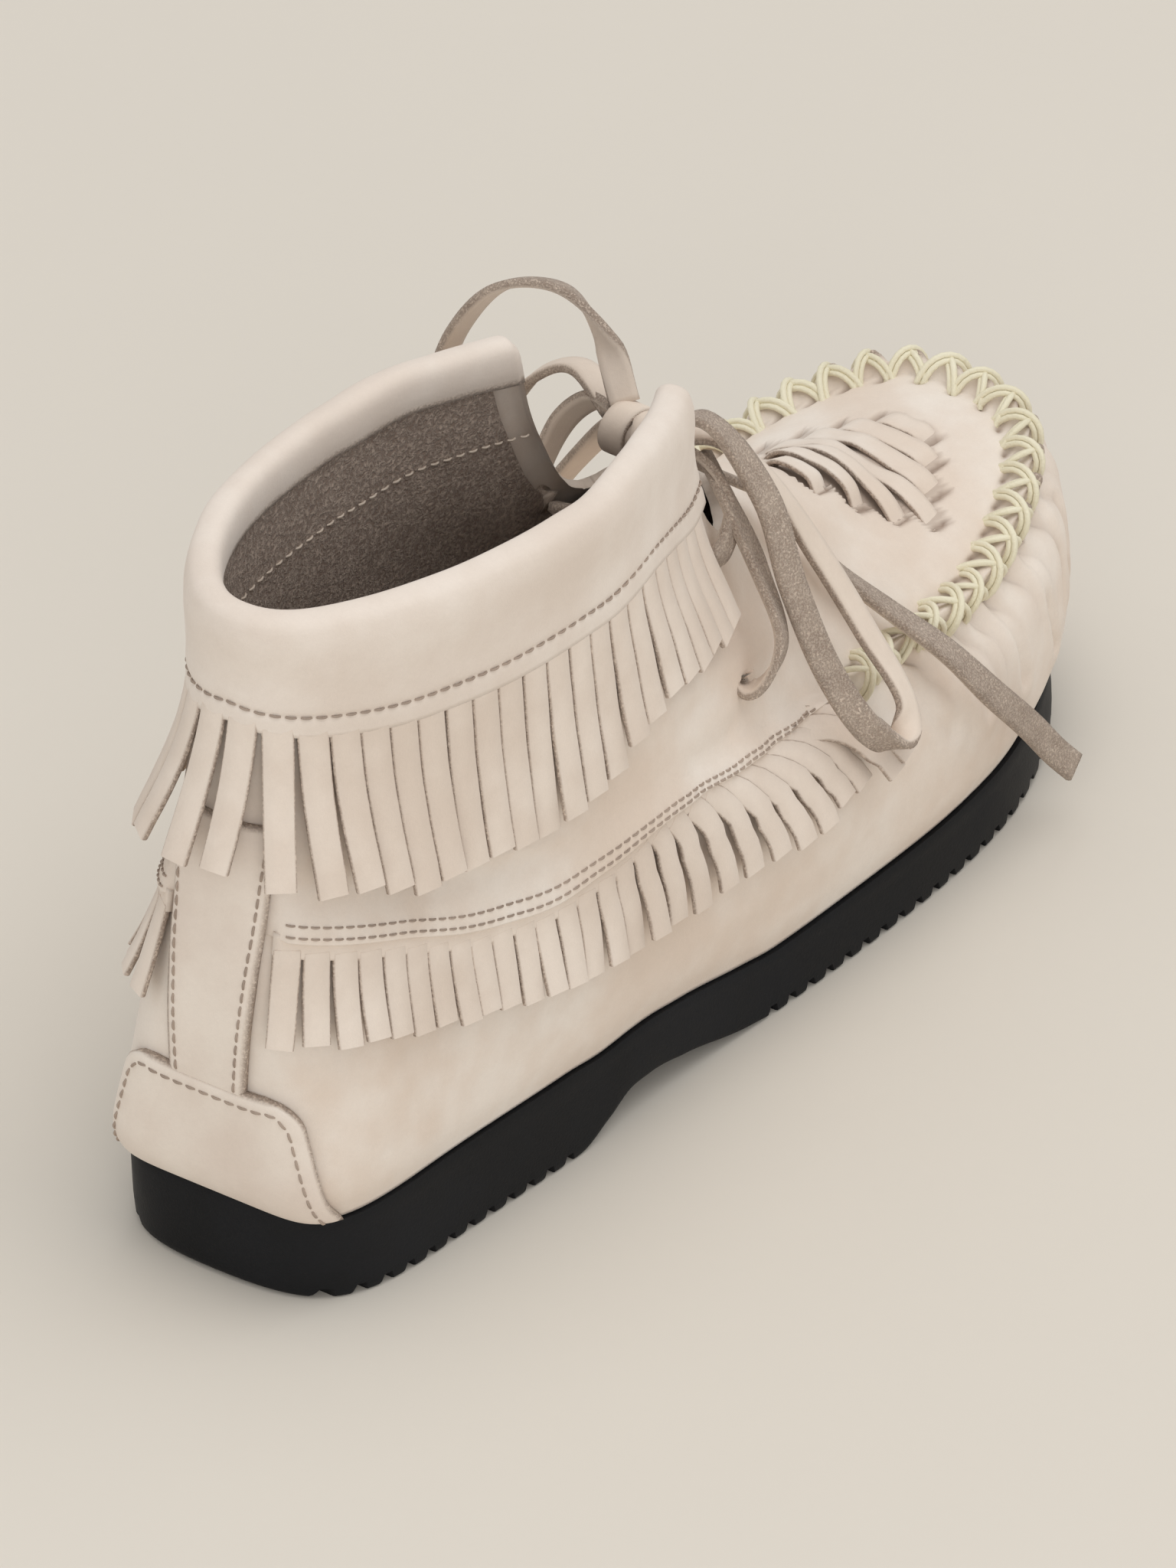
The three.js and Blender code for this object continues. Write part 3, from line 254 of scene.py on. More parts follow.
def turn_at_y(level, y, side):
    """The turn at which a level reaches a place along the shoe, on one side of it."""
    turns = np.linspace(0, PI, SEARCH_STEPS + 1)
    return side * np.interp(y, last_point(turns * side, level)[:, 1], turns)


def beside_last(side, y, z):
    """Turn and level of the place on one side of the last at a place along and a height."""
    turns = side * np.linspace(0, PI, SEARCH_STEPS // 2 + 1)
    levels = level_at_height(turns, z)
    places = last_point(turns, levels)[:, 1]
    return float(np.interp(y, places, turns)), float(np.interp(y, places, levels))


def downhill(turn, level, distance, count):
    """Turns and levels of even steps straight downhill from each start, along the leather."""
    turn_step, level_step, substeps = 0.01, 0.03, 3
    turns, levels = [np.array(turn, float)], [np.array(level, float)]
    t, l = turns[0], levels[0]
    for number in range(1, count * substeps + 1):
        on = (last_point(t + turn_step, l) - last_point(t - turn_step, l)) / (2 * turn_step)
        up = (last_point(t, l + level_step) - last_point(t, l - level_step)) / (2 * level_step)
        normal = unit(np.cross(on, up))
        way = unit(np.array([0, 0, -1.0]) + normal * normal[..., 2:])
        way = way * (np.asarray(distance) / (count * substeps))[..., None]
        # solves way = on * turn + up * level for the two, which aren't square to each other
        a, b, c = (on * on).sum(-1), (on * up).sum(-1), (up * up).sum(-1)
        g, h = (on * way).sum(-1), (up * way).sum(-1)
        t = t + (c * g - b * h) / (a * c - b * b)
        l = l + (a * h - b * g) / (a * c - b * b)
        if number % substeps == 0:
            turns.append(t)
            levels.append(l)
    return np.stack(turns, 1), np.stack(levels, 1)


# %% [markdown]
# ## Camera
# The photograph looks down on the shoe from behind its outer side, through a long lens, so
# that its edges hardly converge. The camera stands far off at that angle, and its frame is
# closer than the photograph's, so that the shoe fills it. Floor and lamps come last of all.

# %% Camera at the photograph's angle
PHOTO_HEIGHT = 2048
AZIMUTH, ELEVATION = math.radians(35), math.radians(35)
PIXELS_PER_MM = 4.05
# a place at the heel, the pixel that shows it in the photograph, and the middle of the frame
PIVOT = Vector((22.5, -26, 20)) * MM
PIVOT_PIXEL = (804, 1440)
SHOE_PIXEL = (1005, 1108)
CLOSER = 1.7
DISTANCE = 6.0
SENSOR = 36.0
to_camera = Vector((math.sin(AZIMUTH) * math.cos(ELEVATION),
                    -math.cos(AZIMUTH) * math.cos(ELEVATION), math.sin(ELEVATION)))
cam_right = Vector((math.cos(AZIMUTH), math.sin(AZIMUTH), 0))
cam_up = to_camera.cross(cam_right)
aim = (PIVOT + cam_right * ((SHOE_PIXEL[0] - PIVOT_PIXEL[0]) / PIXELS_PER_MM * MM)
       - cam_up * ((SHOE_PIXEL[1] - PIVOT_PIXEL[1]) / PIXELS_PER_MM * MM))
camera_data = bpy.data.cameras.new("camera")
camera_data.sensor_width = SENSOR
camera_data.lens = SENSOR * DISTANCE / (PHOTO_HEIGHT / (PIXELS_PER_MM * CLOSER) * MM)
camera_data.clip_end = 100
camera = bpy.data.objects.new("camera", camera_data)
camera.location = aim + to_camera * DISTANCE
camera.rotation_mode = "QUATERNION"
camera.rotation_quaternion = to_camera.to_track_quat("Z", "Y")
bpy.context.scene.collection.objects.link(camera)
bpy.context.scene.camera = camera
print("camera lens, mm:", round(camera_data.lens, 1), "aim, mm:", [round(x / MM, 1) for x in aim])


# %% Making pieces
def link(name, mesh):
    obj = bpy.data.objects.new(name, mesh)
    bpy.context.scene.collection.objects.link(obj)
    return obj


def make_piece(name, points, faces, materials=(), smooth=True):
    """A mesh object from points in millimetres."""
    mesh = bpy.data.meshes.new(name)
    points = np.asarray(points, float).reshape(-1, 3) * MM
    mesh.from_pydata(points.tolist(), [], faces.tolist() if isinstance(faces, np.ndarray) else list(faces))
    for material in materials:
        mesh.materials.append(material)
    mesh.polygons.foreach_set("use_smooth", [smooth] * len(mesh.polygons))
    mesh.update()
    return link(name, mesh)


def store(obj, name, values, kind="FLOAT"):
    """A value, or a vector, for each point of a mesh."""
    attribute = obj.data.attributes.new(name, kind, "POINT")
    field = "value" if kind == "FLOAT" else "vector"
    attribute.data.foreach_set(field, np.asarray(values, np.float32).ravel())


def grid_faces(rows, columns, around=False, along=False):
    """Quads of a grid of points; around joins its last column to its first, along its rows."""
    r = np.arange(rows if along else rows - 1)
    c = np.arange(columns if around else columns - 1)
    r, c = (a.ravel() for a in np.meshgrid(r, c, indexing="ij"))
    r2, c2 = (r + 1) % rows, (c + 1) % columns
    return np.stack([r * columns + c, r * columns + c2, r2 * columns + c2, r2 * columns + c], 1)


def ride(obj, slot_name, *replaced):
    """Puts a finished piece on the shoe, for the solids it stands for, and hides those. slot_name is not
    used.
    """
    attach(obj, "root")
    if replaced:
        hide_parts(*replaced)
    print(f"{obj.name}: {len(obj.data.polygons)} faces")
    return obj


# %% [markdown]
# ## Finishes
# Nubuck is leather sanded to a fine nap. It is nearly matt, with soft clouds of lighter and
# darker tone, and its cut edges and its back are coarser and darker suede. One node group mixes
# both looks, so a strip of fringe can be smooth on its face and rough on its edges. An
# attribute named raw, from 0 to 1, says where the suede shows. On the upper another one, named
# deep, is painted shade that darkens its holes, slits and creases. Colours are written as the eye
# sees them.

# %% Helpers for node trees
def node(tree, kind, inputs=None, **settings):
    made = tree.nodes.new(kind)
    for key, value in settings.items():
        setattr(made, key, value)
    for key, value in (inputs or {}).items():
        if isinstance(value, bpy.types.NodeSocket):
            tree.links.new(value, made.inputs[key])
        else:
            made.inputs[key].default_value = value
    return made


def sockets(tree, ins, outs):
    """Gives a group its named inputs and outputs: name, kind and default."""
    for name, kind, default in ins:
        made = tree.interface.new_socket(name, in_out="INPUT", socket_type="NodeSocket" + kind)
        if default is not None:
            made.default_value = default
    for name, kind in outs:
        tree.interface.new_socket(name, in_out="OUTPUT", socket_type="NodeSocket" + kind)
    return tree.nodes.new("NodeGroupInput").outputs, tree.nodes.new("NodeGroupOutput")


def linear(*rgb):
    """A colour as the eye sees it, 0 to 255, in the values that the shaders work with."""
    return tuple(c / 12.92 if c <= 0.04045 else ((c + 0.055) / 1.055) ** 2.4
                 for c in (v / 255 for v in rgb)) + (1.0,)


def maths(tree, operation, *values):
    return node(tree, "ShaderNodeMath", dict(enumerate(values)), operation=operation).outputs[0]


def blend_colours(tree, factor, a, b):
    """A mix of two colours. Sockets 6 and 7, and the output 2, are the node's colour ones."""
    return node(tree, "ShaderNodeMix", {0: factor, 6: a, 7: b}, data_type="RGBA").outputs[2]


def noise(tree, vector, scale, detail, roughness):
    return node(tree, "ShaderNodeTexNoise", {"Vector": vector, "Scale": scale, "Detail": detail,
                                             "Roughness": roughness}).outputs["Fac"]


def spread(tree, value, low, high):
    """A value remapped smoothly so that low becomes 0 and high becomes 1."""
    return node(tree, "ShaderNodeMapRange", {"Value": value, "From Min": low, "From Max": high},
                interpolation_type="SMOOTHSTEP").outputs["Result"]


# %% The hide: nubuck on its face and suede where it is cut
hide = bpy.data.node_groups.new("hide", "ShaderNodeTree")
inp, out = sockets(hide, [
    ("Light", "Color", (0.7, 0.6, 0.5, 1)), ("Tone", "Color", (0.6, 0.5, 0.4, 1)),
    ("Suede Light", "Color", (0.5, 0.4, 0.3, 1)), ("Suede Dark", "Color", (0.3, 0.2, 0.2, 1)),
    ("Raw", "Float", 0.0), ("Clouds", "Float", 22.0), ("Speckle", "Float", 1500.0),
], [("Color", "Color"), ("Roughness", "Float"), ("Height", "Float")])
place = node(hide, "ShaderNodeTexCoord").outputs["Object"]
# large and small variations of tone, then the two finest grains, each with its noise's scale
clouds = spread(hide, noise(hide, place, inp["Clouds"], 4, 0.6), 0.36, 0.66)
streaks = spread(hide, noise(hide, place, 95.0, 3, 0.55), 0.4, 0.72)
pores = noise(hide, place, 1100.0, 3, 0.6)
nap = noise(hide, place, 3400.0, 2, 0.6)
face = blend_colours(hide, clouds, inp["Light"], inp["Tone"])
face = blend_colours(hide, maths(hide, "MULTIPLY", streaks, 0.35), face, inp["Tone"])
shade = maths(hide, "MULTIPLY_ADD", maths(hide, "ADD", pores, nap), 0.07, 0.93)
face = node(hide, "ShaderNodeVectorMath", {0: face, "Scale": shade}, operation="SCALE")
speckle = spread(hide, noise(hide, place, inp["Speckle"], 3, 0.75), 0.36, 0.64)
coarse = spread(hide, noise(hide, place, 210.0, 3, 0.6), 0.3, 0.7)
fuzz = maths(hide, "MULTIPLY_ADD", speckle, 0.75, maths(hide, "MULTIPLY", coarse, 0.25))
cut = blend_colours(hide, fuzz, inp["Suede Dark"], inp["Suede Light"])
both = blend_colours(hide, inp["Raw"], face.outputs[0], cut)
hide.links.new(both, out.inputs["Color"])
smoothness = maths(hide, "MULTIPLY_ADD", clouds, -0.07, 0.86)
hide.links.new(maths(hide, "MULTIPLY_ADD", inp["Raw"], 0.12, smoothness), out.inputs["Roughness"])
fine = maths(hide, "MULTIPLY_ADD", pores, 0.35, maths(hide, "MULTIPLY", nap, 0.25))
tufts = maths(hide, "MULTIPLY", maths(hide, "MULTIPLY", speckle, 1.5), inp["Raw"])
hide.links.new(maths(hide, "ADD", fine, tufts), out.inputs["Height"])


def surface_material(name, roughness=0.8, sheen=0.0, bump=0.1):
    """A material with a bump, of a depth in millimetres, that feeds its one shader."""
    material = bpy.data.materials.new(name)
    material.use_nodes = True
    tree = material.node_tree
    tree.nodes.clear()
    relief = node(tree, "ShaderNodeBump", {"Strength": 1.0, "Distance": bump * MM})
    shader = node(tree, "ShaderNodeBsdfPrincipled", {
        "Roughness": roughness, "Sheen Weight": sheen, "Sheen Roughness": 0.45,
        "Normal": relief.outputs[0]})
    node(tree, "ShaderNodeOutputMaterial", {"Surface": shader.outputs[0]})
    return material, tree, shader, relief


NAP_SHEEN = 0.12
SUEDE = ((216, 198, 181), (158, 138, 123))


def hide_material(name, light, tone, suede=SUEDE, bump=0.12, raw=None, speckle=1500.0, shaded=False):
    """Leather of one tone. raw fixes how much suede shows, or else the attribute says it."""
    material, tree, shader, relief = surface_material(name, sheen=NAP_SHEEN, bump=bump)
    if raw is None:
        raw = node(tree, "ShaderNodeAttribute", attribute_name="raw").outputs["Fac"]
    group = node(tree, "ShaderNodeGroup", {
        "Light": linear(*light), "Tone": linear(*tone), "Suede Light": linear(*suede[0]),
        "Suede Dark": linear(*suede[1]), "Raw": raw, "Speckle": speckle}, node_tree=hide)
    colour = group.outputs["Color"]
    # painted shade: the deep attribute darkens holes, slits and creases towards the dark suede
    if shaded:
        dark = node(tree, "ShaderNodeAttribute", attribute_name="deep")
        colour = blend_colours(tree, dark.outputs["Fac"], colour, linear(*suede[1]))
    tree.links.new(colour, shader.inputs["Base Color"])
    tree.links.new(group.outputs["Roughness"], shader.inputs["Roughness"])
    tree.links.new(group.outputs["Height"], relief.inputs["Height"])
    return material


upper_leather = hide_material("upper_nubuck", (236, 226, 215), (223, 206, 190), shaded=True)
cuff_leather = hide_material("cuff_nubuck", (234, 223, 212), (223, 209, 196))
fringe_leather = hide_material("fringe_nubuck", (232, 219, 206), (217, 201, 186))
trim_leather = hide_material("trim_nubuck", (235, 224, 212), (223, 208, 195))
lace_leather = hide_material("lace_grain", (228, 213, 198), (212, 195, 179), speckle=2300.0)
lining_suede = hide_material("lining_suede", (190, 172, 158), (160, 142, 128),
                             ((200, 181, 166), (142, 122, 108)), 0.25, 1.0, 1000.0)


# %% Rubber, thread and lacing
def plain_material(name, light, dark, scale, roughness, bump, sheen=0.0, shine=0.5):
    """A finish from two close tones in a fine grain, with patches 40 times as large."""
    material, tree, shader, relief = surface_material(name, roughness, sheen, bump)
    shader.inputs["Specular IOR Level"].default_value = shine
    where = node(tree, "ShaderNodeTexCoord").outputs["Object"]
    grain = noise(tree, where, scale, 4, 0.65)
    patches = spread(tree, noise(tree, where, scale / 40, 4, 0.6), 0.35, 0.7)
    mixed = maths(tree, "MULTIPLY_ADD", grain, 0.5, maths(tree, "MULTIPLY", patches, 0.5))
    tree.links.new(blend_colours(tree, mixed, linear(*dark), linear(*light)), shader.inputs["Base Color"])
    tree.links.new(maths(tree, "MULTIPLY_ADD", patches, 0.15, roughness - 0.05), shader.inputs["Roughness"])
    tree.links.new(grain, relief.inputs["Height"])
    return material


sole_rubber = plain_material("sole_rubber", (30, 31, 34), (13, 14, 16), 1600.0, 0.5, 0.06, shine=0.16)
stitch_thread = plain_material("stitch_thread", (188, 170, 155), (146, 129, 116), 2600.0, 0.75, 0.1)
pale_thread = plain_material("pale_thread", (226, 212, 196), (196, 180, 164), 2600.0, 0.75, 0.1)
lacing_cord = plain_material("lacing_cord", (244, 238, 214), (226, 217, 188), 1900.0, 0.7, 0.22, 0.1)
print("materials:", [m.name for m in bpy.data.materials])


# %% [markdown]
# ## Trees for what repeats
# Fringe strips, stitches and the lacing of the apron repeat dozens of times along a line. Each
# could be copied by hand or by a loop, but a Geometry Nodes tree keeps the rule visible, with
# its sizes as named inputs. Each line comes in as a chain of edges that carries an outward
# direction at every point, so that what is set on it stands square to the leather.

# %% Helpers for the trees
def geometry_tree(name, ins):
    tree = bpy.data.node_groups.new(name, "GeometryNodeTree")
    inputs, output = sockets(tree, [("Geometry", "Geometry", None), *ins, ("Material", "Material", None)],
                             [("Geometry", "Geometry")])
    return tree, inputs, output


def finish_tree(tree, geometry, material, output):
    """Makes the instances real and gives them their material."""
    real = node(tree, "GeometryNodeRealizeInstances", {"Geometry": geometry})
    shaded = node(tree, "GeometryNodeSetShadeSmooth", {"Geometry": real.outputs[0]})
    done = node(tree, "GeometryNodeSetMaterial", {"Geometry": shaded.outputs[0], "Material": material})
    tree.links.new(done.outputs[0], output.inputs["Geometry"])


def attribute(tree, name, kind="FLOAT"):
    made = node(tree, "GeometryNodeInputNamedAttribute", {"Name": name}, data_type=kind)
    return made.outputs[0]


def line_of(tree, geometry):
    """The incoming chains as curves whose normals are the outward directions."""
    curve = node(tree, "GeometryNodeMeshToCurve", {"Mesh": geometry})
    return node(tree, "GeometryNodeSetCurveNormal",
                {"Curve": curve.outputs[0], "Normal": attribute(tree, "out", "FLOAT_VECTOR")},
                mode="FREE").outputs[0]


def offset_by(tree, **inputs):
    """A vector from its X, Y and Z."""
    return node(tree, "ShaderNodeCombineXYZ", inputs).outputs[0]


def facing_out(tree, along):
    """A turn that sets Z outwards and X along a direction."""
    return node(tree, "FunctionNodeAxesToRotation", {0: attribute(tree, "out", "FLOAT_VECTOR"), 1: along},
                primary_axis="Z", secondary_axis="X").outputs[0]


def chains(name, lines, outs, **values):
    """Chains of edges for a tree, with their outward directions and other values."""
    mesh = bpy.data.meshes.new(name)
    points = np.concatenate(lines) * MM
    edges, start = [], 0
    for line in lines:
        edges += [(start + i, start + i + 1) for i in range(len(line) - 1)]
        start += len(line)
    mesh.from_pydata(points.tolist(), edges, [])
    obj = link(name, mesh)
    store(obj, "out", np.concatenate(outs), "FLOAT_VECTOR")
    for key, value in values.items():
        store(obj, key, np.concatenate(value))
    return obj


def grown(name, source, tree, settings):
    """A plain mesh of what a tree makes from a source, which is then removed."""
    modifier = source.modifiers.new("grow", "NODES")
    modifier.node_group = tree
    names = {item.name: item.identifier for item in tree.interface.items_tree
             if item.item_type == "SOCKET" and item.in_out == "INPUT"}
    for key, value in settings.items():
        modifier[names[key]] = value
    source.update_tag()
    ready = source.evaluated_get(bpy.context.evaluated_depsgraph_get())
    mesh = bpy.data.meshes.new_from_object(ready)
    mesh.name = name
    source.modifiers.remove(modifier)
    bpy.data.objects.remove(source)
    return link(name, mesh)


# %% The tree of fringe strips
strip_tree, inp, out = geometry_tree("fringe_strips", [
    ("Width", "Float", 0.006), ("Thickness", "Float", 0.0013), ("Curl", "Float", 0.002),
    ("Seed", "Int", 3)])
CURL_POWER = 2.2
CORNER_SHARE = 0.3
strip_line = line_of(strip_tree, inp["Geometry"])
chance = node(strip_tree, "FunctionNodeRandomValue",
              {"ID": attribute(strip_tree, "strip"), "Seed": inp["Seed"]}, data_type="FLOAT")
bend = maths(strip_tree, "POWER", attribute(strip_tree, "along"), CURL_POWER)
bend = maths(strip_tree, "MULTIPLY", bend, chance.outputs[1])
lift = node(strip_tree, "ShaderNodeVectorMath",
            {0: attribute(strip_tree, "out", "FLOAT_VECTOR"),
             "Scale": maths(strip_tree, "MULTIPLY", bend, inp["Curl"])}, operation="SCALE")
curled = node(strip_tree, "GeometryNodeSetPosition", {"Geometry": strip_line, "Offset": lift.outputs[0]})
section = node(strip_tree, "GeometryNodeCurvePrimitiveQuadrilateral",
               {"Width": inp["Thickness"], "Height": inp["Width"]})
rounded = node(strip_tree, "GeometryNodeFilletCurve",
               {"Curve": section.outputs[0],
                "Radius": maths(strip_tree, "MULTIPLY", inp["Thickness"], CORNER_SHARE)})
# suede shows on the section's two narrow ends, which are the cut edges, and on its back
spot = node(strip_tree, "ShaderNodeSeparateXYZ",
            {0: node(strip_tree, "GeometryNodeInputPosition").outputs[0]}).outputs
wide = maths(strip_tree, "DIVIDE", maths(strip_tree, "ABSOLUTE", spot[1]), inp["Width"])
deep = maths(strip_tree, "DIVIDE", spot[0], inp["Thickness"])
edge_mask = maths(strip_tree, "GREATER_THAN", wide, 0.49)
back_mask = maths(strip_tree, "LESS_THAN", deep, -0.1)
marked = node(strip_tree, "GeometryNodeStoreNamedAttribute",
              {"Geometry": rounded.outputs[0], "Name": "raw",
               "Value": maths(strip_tree, "MAXIMUM", edge_mask, back_mask)},
              data_type="FLOAT", domain="POINT")
swept = node(strip_tree, "GeometryNodeCurveToMesh",
             {"Curve": curled.outputs[0], "Profile Curve": marked.outputs[0], "Fill Caps": True})
finish_tree(strip_tree, swept.outputs[0], inp["Material"], out)

# %% The tree of stitches
stitch_tree, inp, out = geometry_tree("stitch_line", [
    ("Pitch", "Float", 0.003), ("Length", "Float", 0.0023), ("Radius", "Float", 0.0003)])
stitch_points = node(stitch_tree, "GeometryNodeCurveToPoints",
                     {"Curve": line_of(stitch_tree, inp["Geometry"]), "Length": inp["Pitch"]}, mode="LENGTH")
STITCH_SINK = -0.6
STITCH_CROWN = 2.2
half = maths(stitch_tree, "MULTIPLY", inp["Length"], 0.5)
sunk = maths(stitch_tree, "MULTIPLY", inp["Radius"], STITCH_SINK)
ends = [offset_by(stitch_tree, X=maths(stitch_tree, "MULTIPLY", half, way), Z=sunk) for way in (-1.0, 1.0)]
crown = offset_by(stitch_tree, Z=maths(stitch_tree, "MULTIPLY", inp["Radius"], STITCH_CROWN))
arc = node(stitch_tree, "GeometryNodeCurveQuadraticBezier",
           {"Resolution": 5, "Start": ends[0], "Middle": crown, "End": ends[1]})
ring = node(stitch_tree, "GeometryNodeCurvePrimitiveCircle", {"Resolution": 6, "Radius": inp["Radius"]})
stitch = node(stitch_tree, "GeometryNodeCurveToMesh",
              {"Curve": arc.outputs[0], "Profile Curve": ring.outputs[0], "Fill Caps": True})
row = node(stitch_tree, "GeometryNodeInstanceOnPoints",
           {"Points": stitch_points.outputs[0], "Instance": stitch.outputs[0],
            "Rotation": facing_out(stitch_tree, stitch_points.outputs["Tangent"])})
finish_tree(stitch_tree, row.outputs[0], inp["Material"], out)


# %% The tree of the crossed lacing
cross_tree, inp, out = geometry_tree("crossed_lacing", [
    ("Pitch", "Float", 0.0076), ("Inside", "Float", 0.0034), ("Outside", "Float", 0.0046),
    ("Height", "Float", 0.004), ("Thickness", "Float", 0.0011), ("Seed", "Int", 5)])
THREAD_ASIDE = 0.46
NEAR_SHARE, FAR_SHARE = 0.46, 0.4
NEAR_DEPTH, FAR_DEPTH = -0.0018, -0.0012
LEAST_SCALE, MOST_SCALE = (0.9, 0.88, 0.92), (1.08, 1.1, 1.06)


def times(value, factor):
    return maths(cross_tree, "MULTIPLY", value, factor)


strand_ring = node(cross_tree, "GeometryNodeCurvePrimitiveCircle",
                   {"Resolution": 7, "Radius": times(inp["Thickness"], 0.5)})
two_threads = cross_tree.nodes.new("GeometryNodeJoinGeometry")
for way in (-THREAD_ASIDE, THREAD_ASIDE):
    thread = node(cross_tree, "GeometryNodeTransform",
                  {"Geometry": strand_ring.outputs[0],
                   "Translation": offset_by(cross_tree, Y=times(inp["Thickness"], way))})
    cross_tree.links.new(thread.outputs[0], two_threads.inputs[0])
pair = cross_tree.nodes.new("GeometryNodeJoinGeometry")
for way, rise in ((1.0, 1.0), (-1.0, 1.2)):
    near_x, far_x = times(inp["Pitch"], -NEAR_SHARE * way), times(inp["Pitch"], FAR_SHARE * way)
    top = times(inp["Height"], 1.2 * rise)
    path = node(cross_tree, "GeometryNodeCurvePrimitiveBezierSegment", {
        "Resolution": 10,
        "Start": offset_by(cross_tree, X=near_x, Y=inp["Inside"], Z=NEAR_DEPTH),
        "Start Handle": offset_by(cross_tree, X=times(near_x, 0.7), Y=times(inp["Inside"], 0.9), Z=top),
        "End Handle": offset_by(cross_tree, X=times(far_x, 0.9), Y=times(inp["Outside"], -0.9), Z=top),
        "End": offset_by(cross_tree, X=far_x, Y=times(inp["Outside"], -1.0), Z=FAR_DEPTH)},
        mode="POSITION")
    strand = node(cross_tree, "GeometryNodeCurveToMesh",
                  {"Curve": path.outputs[0], "Profile Curve": two_threads.outputs[0], "Fill Caps": True})
    cross_tree.links.new(strand.outputs[0], pair.inputs[0])
cross_points = node(cross_tree, "GeometryNodeMeshToPoints", {"Mesh": inp["Geometry"]})
uneven = node(cross_tree, "FunctionNodeRandomValue",
              {0: LEAST_SCALE, 1: MOST_SCALE, "Seed": inp["Seed"]}, data_type="FLOAT_VECTOR")
crosses = node(cross_tree, "GeometryNodeInstanceOnPoints",
               {"Points": cross_points.outputs[0], "Instance": pair.outputs[0],
                "Rotation": facing_out(cross_tree, attribute(cross_tree, "tangent", "FLOAT_VECTOR")),
                "Scale": uneven.outputs[0]})
finish_tree(cross_tree, crosses.outputs[0], inp["Material"], out)
print("trees:", [g.name for g in bpy.data.node_groups])

# %% [markdown]
# ## The lace
# One flat leather lace, 6 mm wide, runs through four punched holes and is tied in a bow. Its
# free loops and ends hang as cords: their places are the ones that the CAD source has. A curve
# with a flat bevel would twist by itself, so each ribbon is swept in code from its places and
# from the way its wide side looks at each of them. On the loops and ends that side is suede,
# and on the wraps of the knot it is smooth leather.

# %% A smooth path and a ribbon along it
LACE_WIDTH = 6.0
LACE_THICKNESS = 1.9
# points of the section in shares of half the width and half the thickness, and 1 for suede
RIBBON_SECTION = ((1, 0.35, 1), (0.93, 0.95, 1), (0.5, 1.0, 1), (0, 0.97, 1), (-0.5, 1.0, 1),
                  (-0.93, 0.95, 1), (-1, 0.35, 1), (-1, -0.35, 1), (-0.93, -0.95, 0),
                  (-0.5, -1.0, 0), (0, -0.97, 0), (0.5, -1.0, 0), (0.93, -0.95, 0), (1, -0.35, 1))


def through(points, count):
    """A smooth path through points, which may be rows of many points at once.

    It is a centripetal Catmull-Rom curve, which makes no loops where points lie close together.
    """
    p = np.asarray(points, float)
    n = len(p)
    p = np.concatenate([2 * p[:1] - p[1:2], p, 2 * p[-1:] - p[-2:-1]])
    chord = np.linalg.norm(np.diff(p, axis=0), axis=-1)
    while chord.ndim > 1:
        chord = chord.mean(-1)
    t = np.concatenate([[0], np.cumsum(np.sqrt(np.maximum(chord, 1e-6)))])
    u = np.linspace(0, n - 1, count)
    i = np.minimum(u.astype(int), n - 2)
    at = t[i + 1] + (t[i + 2] - t[i + 1]) * (u - i)
    at = at.reshape((-1,) + (1,) * (p.ndim - 1))

    def knot(k):
        return t[i + k].reshape(at.shape)

    def pull(a, b, low, high):
        return ((high - at) * a + (at - low) * b) / (high - low)

    a1, a2, a3 = (pull(p[i + k], p[i + k + 1], knot(k), knot(k + 1)) for k in range(3))
    b1, b2 = pull(a1, a2, knot(0), knot(2)), pull(a2, a3, knot(1), knot(3))
    return pull(b1, b2, knot(1), knot(2))


def sweep(path, across, up, section, closed=False):
    """Rings of a section's points along a path, and their faces with fanned ends."""
    section = np.asarray(section, float)
    rings = (path[:, None] + across[:, None] * section[None, :, :1] + up[:, None] * section[None, :, 1:2])
    count, size = rings.shape[:2]
    faces = grid_faces(count, size, around=True, along=closed)[:, ::-1].tolist()
    if not closed:
        faces += [list(range(size)), [(count - 1) * size + k for k in reversed(range(size))]]
    return rings.reshape(-1, 3), faces


def ribbon(name, places, looks, count, width=LACE_WIDTH, thickness=LACE_THICKNESS, closed=False,
           grain_out=False, material=lace_leather):
    """A flat lace along places, with its wide side turned the way that looks says.

    That side is suede, or with grain_out the smooth side of the leather.
    """
    path, look = through(places, count), through(looks, count)
    if closed:
        path, look = path[:-1], look[:-1]
        along = unit(np.roll(path, -1, 0) - np.roll(path, 1, 0))
    else:
        along = unit(np.gradient(path, axis=0))
    up = unit(look - along * (look * along).sum(-1, keepdims=True))
    across = np.cross(along, up)
    section = [(a * width / 2, b * thickness / 2) for a, b, _ in RIBBON_SECTION]
    points, faces = sweep(path, across, up, section, closed)
    obj = make_piece(name, points, faces, [material])
    raw = [1 - r if grain_out and abs(a) < 0.95 else r for a, _, r in RIBBON_SECTION]
    store(obj, "raw", np.tile(raw, len(path)))
    return obj, path


# %% The places of the knot, the loops and the ends
KNOT_SIZE = np.array([13, 10.5, 11.2])
KNOT_PLACE = np.array([2, 106, 118.0])


def knot_seat(*way):
    """The place just off the knot in one direction from its middle."""
    way = np.array(way, float)
    reach = 1 / np.linalg.norm(way / (KNOT_SIZE / 2)) + FIT_GAP / np.linalg.norm(way)
    return KNOT_PLACE + reach * way


